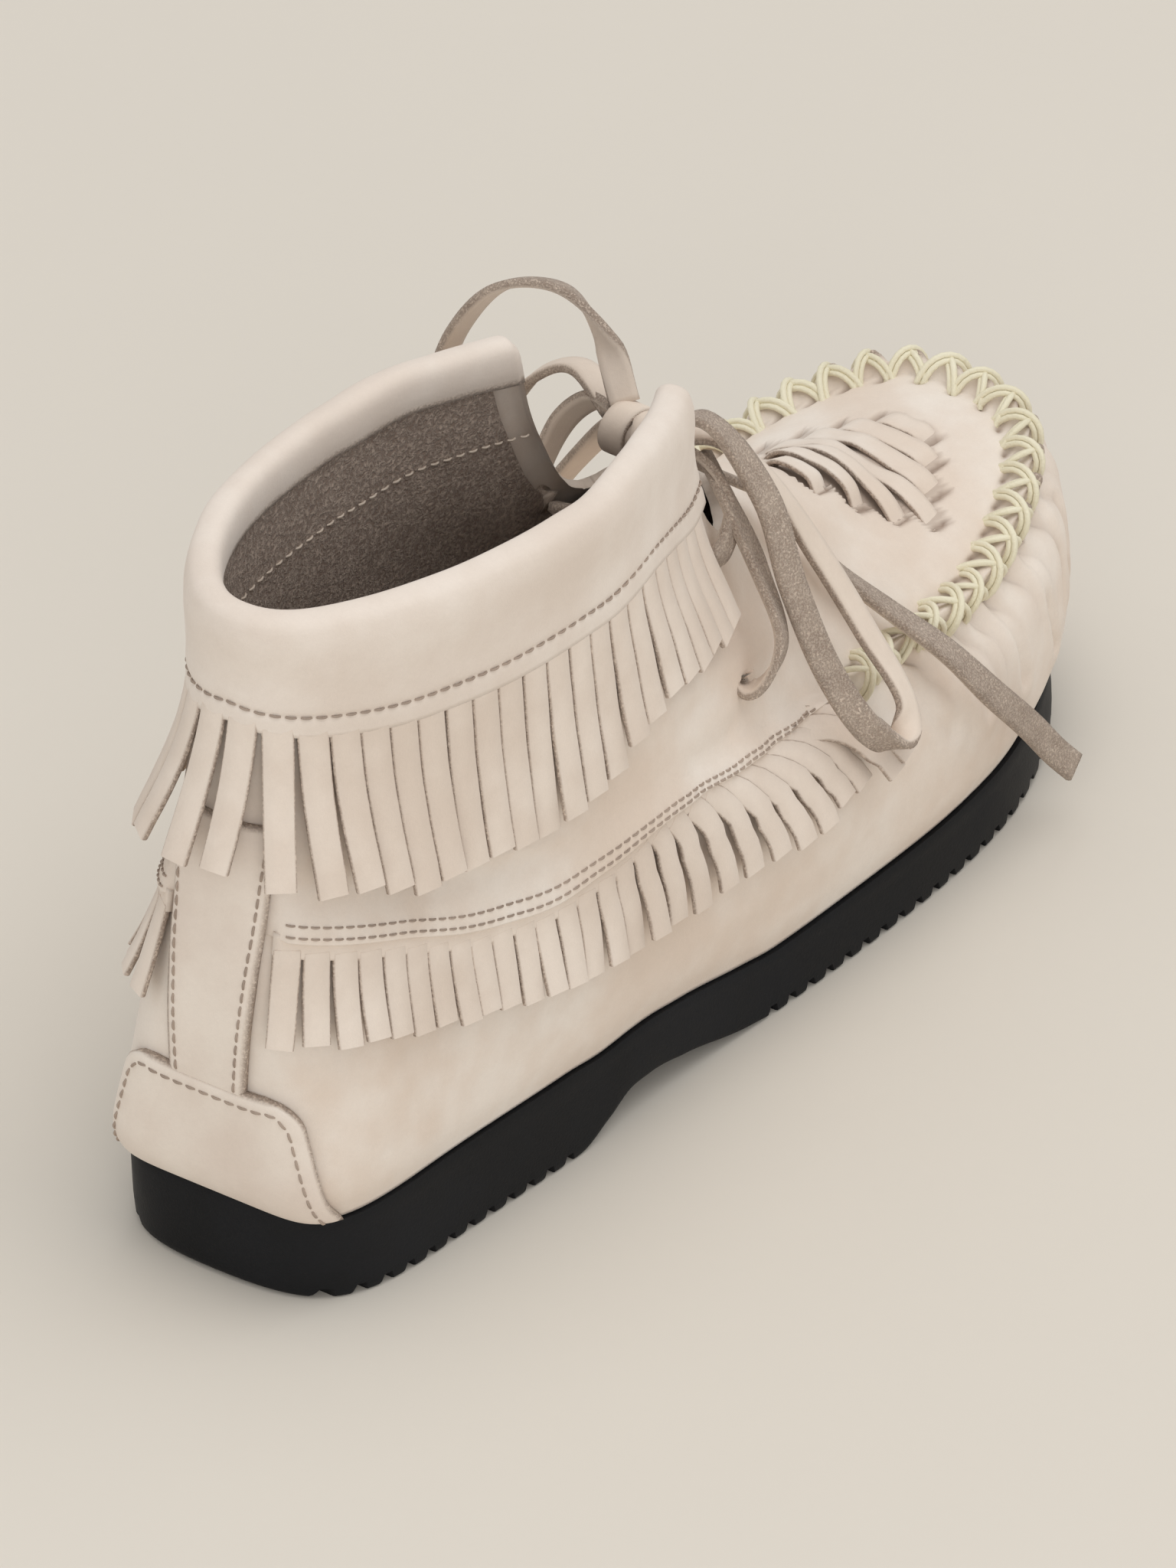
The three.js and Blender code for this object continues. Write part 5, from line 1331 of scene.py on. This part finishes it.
def collar_points(shares, drop, distance):
    """One station of the cuff for every column, by shares from one side of the throat to the other."""
    turns = np.zeros(len(shares))
    for side in (1, -1):
        level = COLLAR
        for _ in range(3):
            end = end_turn(level, side)
            level = float(level_below(end, COLLAR, max(drop, 0) * cuff_depth(abs(end))))
        chosen = shares * side > 0
        turns[chosen] = np.abs(shares[chosen]) * end
    levels = level_below(turns, COLLAR, max(drop, 0) * cuff_depth(np.abs(turns)))
    points = off_last(turns, levels, np.full(len(shares), distance))
    if drop < 0:
        points[:, 2] = last_point(turns, COLLAR)[:, 2] - drop
    return points


def stationed(table, shares, count):
    return through([collar_points(shares, *row) for row in table], count)


def sheet_piece(name, inner_face, outer_face, material, raw_lips=0.0):
    """A thick sheet from the rows of its two faces, with closed rims. Its lips may be raw."""
    sheet = np.concatenate([inner_face, outer_face[::-1]]).transpose(1, 0, 2)
    columns, size = sheet.shape[:2]
    faces = grid_faces(columns, size, around=True).tolist()
    faces += [list(range(size)), [(columns - 1) * size + k for k in reversed(range(size))]]
    obj = make_piece(name, sheet, faces, [material])
    raw = np.zeros((columns, size))
    raw[:, [0, 1, -1, -2]] = raw_lips
    store(obj, "raw", raw)
    checked = bmesh.new()
    checked.from_mesh(obj.data)
    bmesh.ops.recalc_face_normals(checked, faces=checked.faces)
    checked.to_mesh(obj.data)
    checked.free()
    return obj


# half of the columns' spacing is even, and half of it crowds them towards the throat
spaced = np.linspace(-1, 1, CUFF_COLUMNS)
crowded = np.sin(spaced * PI / 2 * END_CROWDING) / math.sin(PI / 2 * END_CROWDING)
cuff_shares = 0.5 * crowded + 0.5 * spaced
under = stationed(CUFF_UNDER, cuff_shares, UNDER_ROWS)
over = stationed(CUFF_OVER, cuff_shares, OVER_ROWS)
# the band thins to its two ends, and low waves run over it
full = ease((1 - np.abs(cuff_shares)) * CUFF_HALF_LENGTH / THIN_RUN)[None, :, None]
nearest = under[np.round(np.linspace(0, UNDER_ROWS - 1, OVER_ROWS)).astype(int)]
over = nearest + (over - nearest) * (THIN_END + (1 - THIN_END) * full)
a, b, c = over[..., 0], over[..., 1], over[..., 2]
puff = (np.sin(a * 0.13 + b * 0.1) * np.sin(c * 0.2 + b * 0.06 + 1)
        + 0.5 * np.sin(b * 0.27 + c * 0.15) * np.sin(a * 0.31 + 0.7))
outward = unit((over - (0, CUFF_MIDDLE_Y, 0)) * (1, 1, 0))
over = over + outward * (PUFF_HEIGHT * puff * np.sin(np.linspace(0, PI, OVER_ROWS))[:, None])[..., None]
ride(sheet_piece("cuff_band", under, over, cuff_leather, RAW_LIP), "cuff_nubuck", "cuff_fringe")


# %% [markdown]
# ## The fringes
# The leather under each header is slit into strips, which hang plumb from the cuff and square
# to the seam along the sides. Each strip's middle line is walked down the last, lifting off
# towards its tip, and the tree of fringe strips gives it its width, its cut edges and a curl.

# %% Middle lines of the strips
def turns_along(level_of, start, end, pitch):
    """Turns at even distances along a line of the last."""
    turns = np.linspace(start, end, 481)
    reach = reach_along(last_point(turns, level_of(turns)))
    count = round(reach[-1] / pitch)
    return np.interp((np.arange(count) + 0.5) * reach[-1] / count, reach, turns), reach[-1] / count


def uneven_roots(roots, amount, salt):
    """The strips' places moved a little, and a second small difference for each strip."""
    order = np.arange(len(roots))
    return roots + np.gradient(roots) * amount * (scattered(order, salt) - 0.5), (order * GOLDEN) % 1


def strips(name, turns, levels, lifts, base, pitch, thickness, curl, seed):
    """Strips of fringe along walks over the last, each lifting off towards its tip."""
    share = np.linspace(0, 1, STRIP_POINTS)
    lines = off_last(turns, levels, base + lifts[:, None] * share ** LIFT_POWER)
    numbers = np.repeat(np.arange(len(turns), dtype=float), STRIP_POINTS)
    chain = chains(name + "_lines", list(lines), list(last_normal(turns, levels)),
                   along=[share] * len(turns), strip=[numbers])
    return grown(name, chain, strip_tree, {
        "Width": (pitch - SLIT) * MM, "Thickness": thickness * MM, "Curl": curl * MM, "Seed": seed,
        "Material": fringe_leather})


GOLDEN = 0.618034
LIFT_POWER = 1.3
SLIT = 0.12
HIDDEN_START = 1.5
STRIP_POINTS = 10
CUFF_STRIP_LENGTH = 34
CUFF_STRIP_PITCH = 6.4
CUFF_STRIP_FLARE = 7
cuff_ends = [end_turn(COLLAR, side, half_throat - 4) * 0.9 for side in (-1, 1)]
header_depth = CUFF_BAND + CUFF_HEADER
roots, cuff_pitch = turns_along(lambda t: level_below(t, COLLAR, header_depth * cuff_depth(np.abs(t))),
                                *cuff_ends, CUFF_STRIP_PITCH)
roots, golden = uneven_roots(roots, 0.05, 5)
start_levels = level_below(roots, COLLAR, header_depth * cuff_depth(np.abs(roots)) - HIDDEN_START)
lengths = CUFF_STRIP_LENGTH * cuff_hang(np.abs(roots)) + HIDDEN_START - 2 * golden
strip_turns, strip_levels = downhill(roots, start_levels, lengths, STRIP_POINTS - 1)
# the strips stand off most at the back, where they hang clear of the heel
towards_back = 1 - np.clip(np.abs(roots) / (0.35 * PI), 0, 1)
lifts = (0.3 + 0.7 * towards_back) * CUFF_STRIP_FLARE + 0.7 * golden
ride(strips("cuff_fringe_strips", strip_turns, strip_levels, lifts, LOOSE_GAP + 0.75, cuff_pitch,
            1.35, 1.3, 4), "cuff_nubuck")

# %% The side fringes
SIDE_HEADER = 3.5
SIDE_STRIP_LENGTH = 18.5
SIDE_STRIP_PITCH = 5.6
SIDE_STRIP_FLARE = 2.5
HEADER_COLUMNS = 90


def below_seam(turns, drop):
    """Levels a distance down the leather from the side seam, or up from it where negative."""
    return level_below(turns, COLLAR, SHAFT_RISE * seam_fall(np.abs(turns)) + drop)


def side_fringe(side, name, node_name):
    """A header under the seam's lap and the strips slit from it, as one piece."""
    start = float(turn_round(SEAM, side * (BACKSTAY_HALF + 0.6)))
    end = float(turn_at_y(SEAM, SEAM_START_Y - 6, side))
    turns = np.linspace(start, end, HEADER_COLUMNS)
    levels = [below_seam(turns, drop) for drop in (-1.2, 0, 1, 2, 3, SIDE_HEADER)]
    inner_face, outer_face = (
        np.stack([off_last(turns, level, np.full(HEADER_COLUMNS, distance)) for level in levels])
        for distance in (0.45, 1.75))
    header = sheet_piece(name + "_header", inner_face, outer_face, fringe_leather)
    roots, pitch = turns_along(lambda t: below_seam(t, SIDE_HEADER), start, end, SIDE_STRIP_PITCH)
    roots, golden = uneven_roots(roots, 0.06, 6 + side)
    # the strips start inside the header, and the front ones stand off most
    lengths = SIDE_STRIP_LENGTH * side_hang(np.abs(roots)) + HIDDEN_START - 1.5 * golden
    levels = np.stack([below_seam(roots, SIDE_HEADER - HIDDEN_START + lengths * share)
                       for share in np.linspace(0, 1, STRIP_POINTS)], 1)
    lifts = SIDE_STRIP_FLARE * 0.7 + 0.8 * golden + 4 * (np.arange(len(roots)) > len(roots) - 3)
    hung = strips(name + "_strips", np.repeat(roots[:, None], STRIP_POINTS, 1), levels, lifts,
                  LOOSE_GAP + 0.6, pitch, 1.25, 1.4, 11 + side)
    ride(joined(name, [header, hung]), "fringe_nubuck", node_name)


side_fringe(1, "outer_side_fringe", "side_fringe_right")
side_fringe(-1, "inner_side_fringe", "side_fringe_left")

# %% [markdown]
# ## Heel pieces
# A strip of leather, the backstay, covers the seam up the back of the shaft, and a patch with
# rounded corners covers the back of the heel just above the sole. Both are stitched on near
# their edges. Each is a small grid laid on the last, with a rounded rim and a raw edge.

# %% Patches on the back of the heel
TAB_HEIGHT = 27
TAB_FOOT = HEEL_THICKNESS + FIT_GAP + 0.8
TAB_WIDTHS = (52, 38)
TAB_CORNER = 0.24
PATCH_LIFT = 0.35


def patch_place(z, distance):
    """Turn and level at a distance round the back of the heel, at a height."""
    turn = turn_round(float(level_at_height(0.0, z)), distance)
    return turn, level_at_height(turn, np.full(np.shape(turn), float(z)))


def patch(name, rows, columns, half_width_at, low, high, thickness, material):
    """A patch of leather whose half width is given at each share of its height."""
    shares = np.linspace(0, 1, rows)
    lean = np.linspace(-1, 1, columns)
    faces_of = []
    for z_share in shares:
        turn, level = patch_place(low + (high - low) * z_share, lean * half_width_at(z_share))
        edge = np.minimum(1 - np.abs(lean), min(z_share, 1 - z_share) * 1.4)
        crown = thickness * (0.55 + 0.45 * np.sqrt(np.clip(edge / 0.09, 0, 1)))
        faces_of.append((off_last(turn, level, np.full(columns, FIT_GAP + PATCH_LIFT - 0.3)),
                         off_last(turn, level, FIT_GAP + PATCH_LIFT + crown)))
    under = np.stack([f[0] for f in faces_of])
    over = np.stack([f[1] for f in faces_of])
    points = np.concatenate([under.reshape(-1, 3), over.reshape(-1, 3)])
    half = rows * columns
    bottom = grid_faces(rows, columns)[:, ::-1]
    top = grid_faces(rows, columns) + half
    rim = ([k for k in range(columns)] + [r * columns + columns - 1 for r in range(1, rows)]
           + [(rows - 1) * columns + k for k in range(columns - 2, -1, -1)]
           + [r * columns for r in range(rows - 2, 0, -1)])
    sides = [[a, b, b + half, a + half] for a, b in zip(rim, rim[1:] + rim[:1])]
    obj = make_piece(name, points, bottom.tolist() + top.tolist() + sides, [material])
    raw = np.zeros(2 * half)
    raw[rim] = 1
    raw[[k + half for k in rim]] = 1
    store(obj, "raw", raw)
    return obj


def tab_half(share):
    rounded = min(max((share - (1 - TAB_CORNER)) / TAB_CORNER, 0), 1)
    corner = TAB_CORNER * TAB_HEIGHT * (1 - math.sqrt(max(0, 1 - rounded ** 2)))
    return (TAB_WIDTHS[0] + (TAB_WIDTHS[1] - TAB_WIDTHS[0]) * share) / 2 - corner


tab = patch("heel_patch", 34, 61, tab_half, TAB_FOOT, TAB_FOOT + TAB_HEIGHT, 1.9, trim_leather)
ride(tab, "trim_nubuck", "heel_tab")
STAY_FOOT = TAB_FOOT + TAB_HEIGHT - 3.0
STAY_HEAD = 104.0
stay = patch("back_strip", 46, 17, lambda s: 8.5 + 2.7 * s, STAY_FOOT, STAY_HEAD, 1.5, trim_leather)
ride(stay, "trim_nubuck", "backstay")

# %% [markdown]
# ## Stitches
# Rows of short stitches hold the pieces together: one round the cuff, two along each side seam,
# one inside the edge of each heel piece and one in the lining. Every row is a line of places on
# the finished leather, handed to the tree of stitches.


# %% Rows of stitches
def stitched(name, rows, slot_name, material, pitch=3.0, length=2.3, radius=0.3):
    """Rows of stitches as one piece. A row is a line of points and their outward directions."""
    chain = chains(name + "_lines", [r[0] for r in rows], [r[1] for r in rows])
    made = grown(name, chain, stitch_tree, {"Pitch": pitch * MM, "Length": length * MM,
                                            "Radius": radius * MM, "Material": material})
    return ride(made, slot_name)


stitch_shares = np.linspace(-0.985, 0.985, 300)
cuff_row = collar_points(stitch_shares, CUFF_BAND, OUT - 0.1)
cuff_out = unit(cuff_row - collar_points(stitch_shares, CUFF_BAND, 0.0))
stitched("cuff_stitches", [(cuff_row, cuff_out)], "cuff_nubuck", stitch_thread, 3.0, 2.0, 0.26)


def seam_row(side, above):
    start = float(turn_round(SEAM, side * (BACKSTAY_HALF + 3.4)))
    end = float(turn_at_y(SEAM, SEAM_START_Y - 5, side))
    turns = np.linspace(start, end, 260)
    return skin_point(turns, below_seam(turns, -above), 0.05)


stitched("side_stitches", [seam_row(side, above) for side in (1, -1) for above in (1.3, 3.6)],
         "upper_nubuck", stitch_thread, 2.5, 1.7, 0.24)


def patch_row(places, thickness):
    turns, levels = zip(*(patch_place(z, np.array([d])) for z, d in places))
    turns, levels = np.concatenate(turns), np.concatenate(levels)
    return (off_last(turns, levels, np.full(len(turns), FIT_GAP + PATCH_LIFT + thickness + 0.02)),
            last_normal(turns, levels))


INSET = 2.6
tab_shares = np.linspace(0.07, 1 - INSET / TAB_HEIGHT, 26)
side_places = [(TAB_FOOT + s * TAB_HEIGHT, tab_half(min(1, s + 0.03)) - INSET) for s in tab_shares]
top_z, top_half = side_places[-1]
tab_places = ([(z, -d) for z, d in side_places]
              + [(top_z, d) for d in np.linspace(-top_half, top_half, 30)[1:-1]]
              + side_places[::-1])
stay_zs = np.linspace(TAB_FOOT + TAB_HEIGHT + 1.0, STAY_HEAD - 4, 60)
stay_rows = [patch_row([(z, side * (8.5 + 2.7 * (z - STAY_FOOT) / (STAY_HEAD - STAY_FOOT) - 2.0))
                        for z in stay_zs], 1.5) for side in (1, -1)]
stitched("heel_stitches", [patch_row(tab_places, 1.9), *stay_rows], "trim_nubuck", stitch_thread,
         2.9, 2.0, 0.28)
lining_turns = np.linspace(0.02, 0.80, 200) * PI
lining_rows = []
for side in (1, -1):
    row_turns = side * lining_turns
    row_levels = level_below(row_turns, COLLAR, np.full(200, CUFF_BAND + 1.0))
    lining_rows.append((off_last(row_turns, row_levels, np.full(200, -WALL - 0.05)),
                        -last_normal(row_turns, row_levels)))
stitched("lining_stitches", lining_rows, "insole_suede", pale_thread, 3.3, 2.0, 0.25)

# %% [markdown]
# ## The lacing of the apron
# A waxed cord whips the apron to the puckered edge of the toe in a row of crosses, each over
# one pucker, and ends in a small knot on either side. One cross is two arcs over the ridge, and
# each arc is two threads side by side. The tree sets a cross on a point for each pitch of the
# seam, turned along it and standing out.

# %% Crosses along the seam
cross_reach = reach_from + (np.arange(crosses_count) + 0.5) * cross_pitch
cross_turns = np.interp(cross_reach, seam_reach, seam_turns)
seam_points = seam_place(cross_turns)
seam_outs = last_normal(cross_turns, seam_level(cross_turns))
tangents = unit(seam_place(cross_turns + 0.01) - seam_place(cross_turns - 0.01))
points_mesh = bpy.data.meshes.new("cross_places")
points_mesh.from_pydata((seam_points * MM).tolist(), [], [])
places = link("cross_places", points_mesh)
store(places, "out", seam_outs, "FLOAT_VECTOR")
store(places, "tangent", tangents, "FLOAT_VECTOR")
lacing = grown("apron_lacing", places, cross_tree,
               {"Pitch": cross_pitch * MM, "Inside": 3.5 * MM, "Outside": 3.4 * MM,
                "Height": 4.5 * MM, "Thickness": 1.25 * MM, "Seed": 5, "Material": lacing_cord})
ride(lacing, "upper_nubuck")
KNOT_LUMPS = (((0, 0, 0), 1.7), ((0.5, -1.2, -0.9), 1.3))
KNOT_HEIGHT = 2.6
KNOT_BEYOND = 0.03
lumps = []
for turn in (laced_from - KNOT_BEYOND, laced_to + KNOT_BEYOND):
    at = off_last(turn, seam_level(turn), KNOT_HEIGHT)
    lumps += [(at + shift, radius, (1, 1.2, 0.85)) for shift, radius in KNOT_LUMPS]
ride(balls("lacing_knots", lumps, lacing_cord), "upper_nubuck")

# %% [markdown]
# ## The woven diamond
# Slits across the apron let strips of its own leather weave in and out in a stepped diamond, a
# common ornament on such shoes. The skin is sunk a little there and shows a slot at each end of
# a row, and both are darkened with painted shade. Seven strips run across it: the rear ones arch
# up, and the front ones lie nearly flush.

# %% Places on the apron, found from above
search_levels, search_turns = np.meshgrid(np.linspace(SEAM + 0.3, SEAM + 4, 90),
                                          np.linspace(0.55 * PI, 1.45 * PI, 260), indexing="ij")
search_points = last_point(search_turns, search_levels).reshape(-1, 3)


def on_apron(x, y, lift):
    """The point of the apron under a place seen from above, and its outward direction."""
    found = np.argmin((search_points[:, 0] - x) ** 2 + (search_points[:, 1] - y) ** 2)
    turn, level = search_turns.ravel()[found], search_levels.ravel()[found]
    for _ in range(4):
        here = last_point(turn, level)
        by_turn = (last_point(turn + 0.01, level) - here)[:2] / 0.01
        by_level = (last_point(turn, level + 0.02) - here)[:2] / 0.02
        step = np.linalg.solve(np.stack([by_turn, by_level], 1), np.array([x, y]) - here[:2])
        turn, level = turn + step[0], level + step[1]
    return off_last(turn, level, lift), last_normal(turn, level)


# %% Strips of the diamond
WEAVE_THICKNESS = 1.0


def woven_strip(name, start, end, heights, width):
    """One flat strip over the apron, with a height at even places along it."""
    places = [on_apron(start[0] + (end[0] - start[0]) * s, start[1] + (end[1] - start[1]) * s, h)
              for s, h in zip(np.linspace(0, 1, len(heights)), heights)]
    return ribbon(name, [p for p, _ in places], [n for _, n in places], 5 * len(heights), width,
                  WEAVE_THICKNESS, grain_out=True, material=upper_leather)[0]


# a row's width in shares of the pitch, and its heights from the inner side to the outer one
# between its two tucked ends
WEAVE_ROWS = ((0.74, (0.7, 1.0, 0.9, 0.6)),
              (0.74, (0.8, 1.2, 1.0, 1.1, 0.8)),
              (0.78, (0.7, 1.0, 1.3, 1.2, 1.0, 0.8)),
              (0.8, (0.3, 0.8, 0.9, -0.4, -0.5, 0.9, 0.3)),
              (0.95, (0.3, 0.45, 0.9, 0.4, 0.3, 0.3)),
              (0.95, (0.3, 0.3, 0.35, 0.3, 0.3)),
              (0.95, (0.3, 0.3, 0.3)))
TUCKED = -1.6
weave = []
for line, (share, heights) in zip(range(-3, 4), WEAVE_ROWS):
    reach = DIAMOND_REACH[abs(line)] + 0.8
    y = DIAMOND_CENTRE[1] + line * DIAMOND_PITCH
    ends = [(DIAMOND_CENTRE[0] + way * reach, y) for way in (-1, 1)]
    weave.append(woven_strip(f"row_{line + 3}", *ends, (TUCKED, *heights, TUCKED), DIAMOND_PITCH * share))
ride(joined("woven_diamond", weave), "upper_nubuck")


# %% [markdown]
# ## The lace in the throat
# Inside the throat the lace crosses from hole to hole and comes up to the knot. These stretches
# are tight, so each is a short ribbon from the leather at one hole to the leather at the next.

# %% Stretches of the lace through the holes
def hole(eyelet, distance):
    """A place on an eyelet's axis at a distance from the last, outwards where it is positive."""
    _, normal, bare = eyelet
    return bare + normal * distance


IN, OUTSIDE = -3.6, 1.6
UP = (0, 0.5, 0.85)
# each run is its places and the ways its wide side looks: four inside, three up to the knot
throat_runs = (
    ([hole(low_left, IN), (0, 103, 78), hole(high_right, IN)], [UP] * 3),
    ([hole(low_right, IN), (2, 105, 82), hole(high_left, IN)], [UP] * 3),
    ([hole(high_left, IN), (1, 107, 95), hole(high_right, IN)], [UP] * 3),
    ([hole(low_left, IN), (1, 105, 68), hole(low_right, IN)], [UP] * 3),
    ([hole(high_left, IN + 1), hole(high_left, OUTSIDE), (-20, 112, 108), (-11, 111, 118), (-3, 107, 120)],
     [(-1, 0.3, 0.3), (-1, 0.5, 0.4), (-0.6, 0.7, 0.6), (-0.2, 0.8, 0.7), (0, 0.8, 0.6)]),
    ([hole(high_right, IN + 1), hole(high_right, OUTSIDE), (20, 112, 105), (13, 111, 114), (6, 107, 117)],
     [(1, 0.3, 0.3), (1, 0.5, 0.4), (0.6, 0.7, 0.6), (0.2, 0.8, 0.7), (0, 0.8, 0.6)]),
    ([hole(low_right, IN + 1), hole(low_right, OUTSIDE + 1.4), hole(low_right, 5) + [-1, 6, 6],
      hole(high_right, 5) + [2, 6, -6], hole(high_right, 3) + [-3, 6, 8], (12, 114, 113)],
     [(0.7, -0.6, 0), (0.8, 0.4, -0.5), (1, 0.4, 0), (1, 0.3, 0.1), (0.8, 0.4, 0.4), (0.3, 0.6, 0.8)]),
)
runs = [ribbon(f"run_{i}", places, looks, 12 * len(places), width=TIGHT_WIDTH)[0]
        for i, (places, looks) in enumerate(throat_runs)]
ride(joined("throat_lace", runs), "lace_leather", "lace_crossings")

# %% [markdown]
# ## The studio
# The photograph has one plain warm grey from edge to edge, and hardly a shadow but where the
# sole meets the floor. A large floor takes that tone. A bright surround fills every side, and
# a wide lamp overhead with a weaker one behind the camera shapes the leather.

# %% Floor, surround and lamps
FLOOR_REACH = 4000
SURROUND_COLOUR, SURROUND_STRENGTH = (1.0, 0.995, 0.985, 1), 0.68
corners = [(x * FLOOR_REACH, y * FLOOR_REACH, 0) for x, y in ((-1, -1), (1, -1), (1, 1), (-1, 1))]
paper = plain_material("floor_paper", (220, 213, 202), (218, 211, 200), 300.0, 0.95, 0.0)
make_piece("floor", corners, [[0, 1, 2, 3]], [paper])
world = bpy.data.worlds.new("surround")
bpy.context.scene.world = world
world.use_nodes = True
background = world.node_tree.nodes["Background"].inputs
background["Color"].default_value = SURROUND_COLOUR
background["Strength"].default_value = SURROUND_STRENGTH


def lamp(name, place, size, power):
    """A round soft lamp that faces the shoe, in metres and watts."""
    data = bpy.data.lights.new(name, "AREA")
    data.shape, data.size, data.energy = "DISK", size, power
    obj = bpy.data.objects.new(name, data)
    obj.location = place
    obj.rotation_mode = "QUATERNION"
    obj.rotation_quaternion = (Vector(place) - PIVOT).to_track_quat("Z", "Y")
    bpy.context.scene.collection.objects.link(obj)


lamp("overhead", (0.35, 0.4, 2.2), 2.2, 17)
lamp("behind_camera", (1.2, -1.5, 0.9), 1.4, 8)
bpy.context.scene.view_settings.view_transform = "Standard"
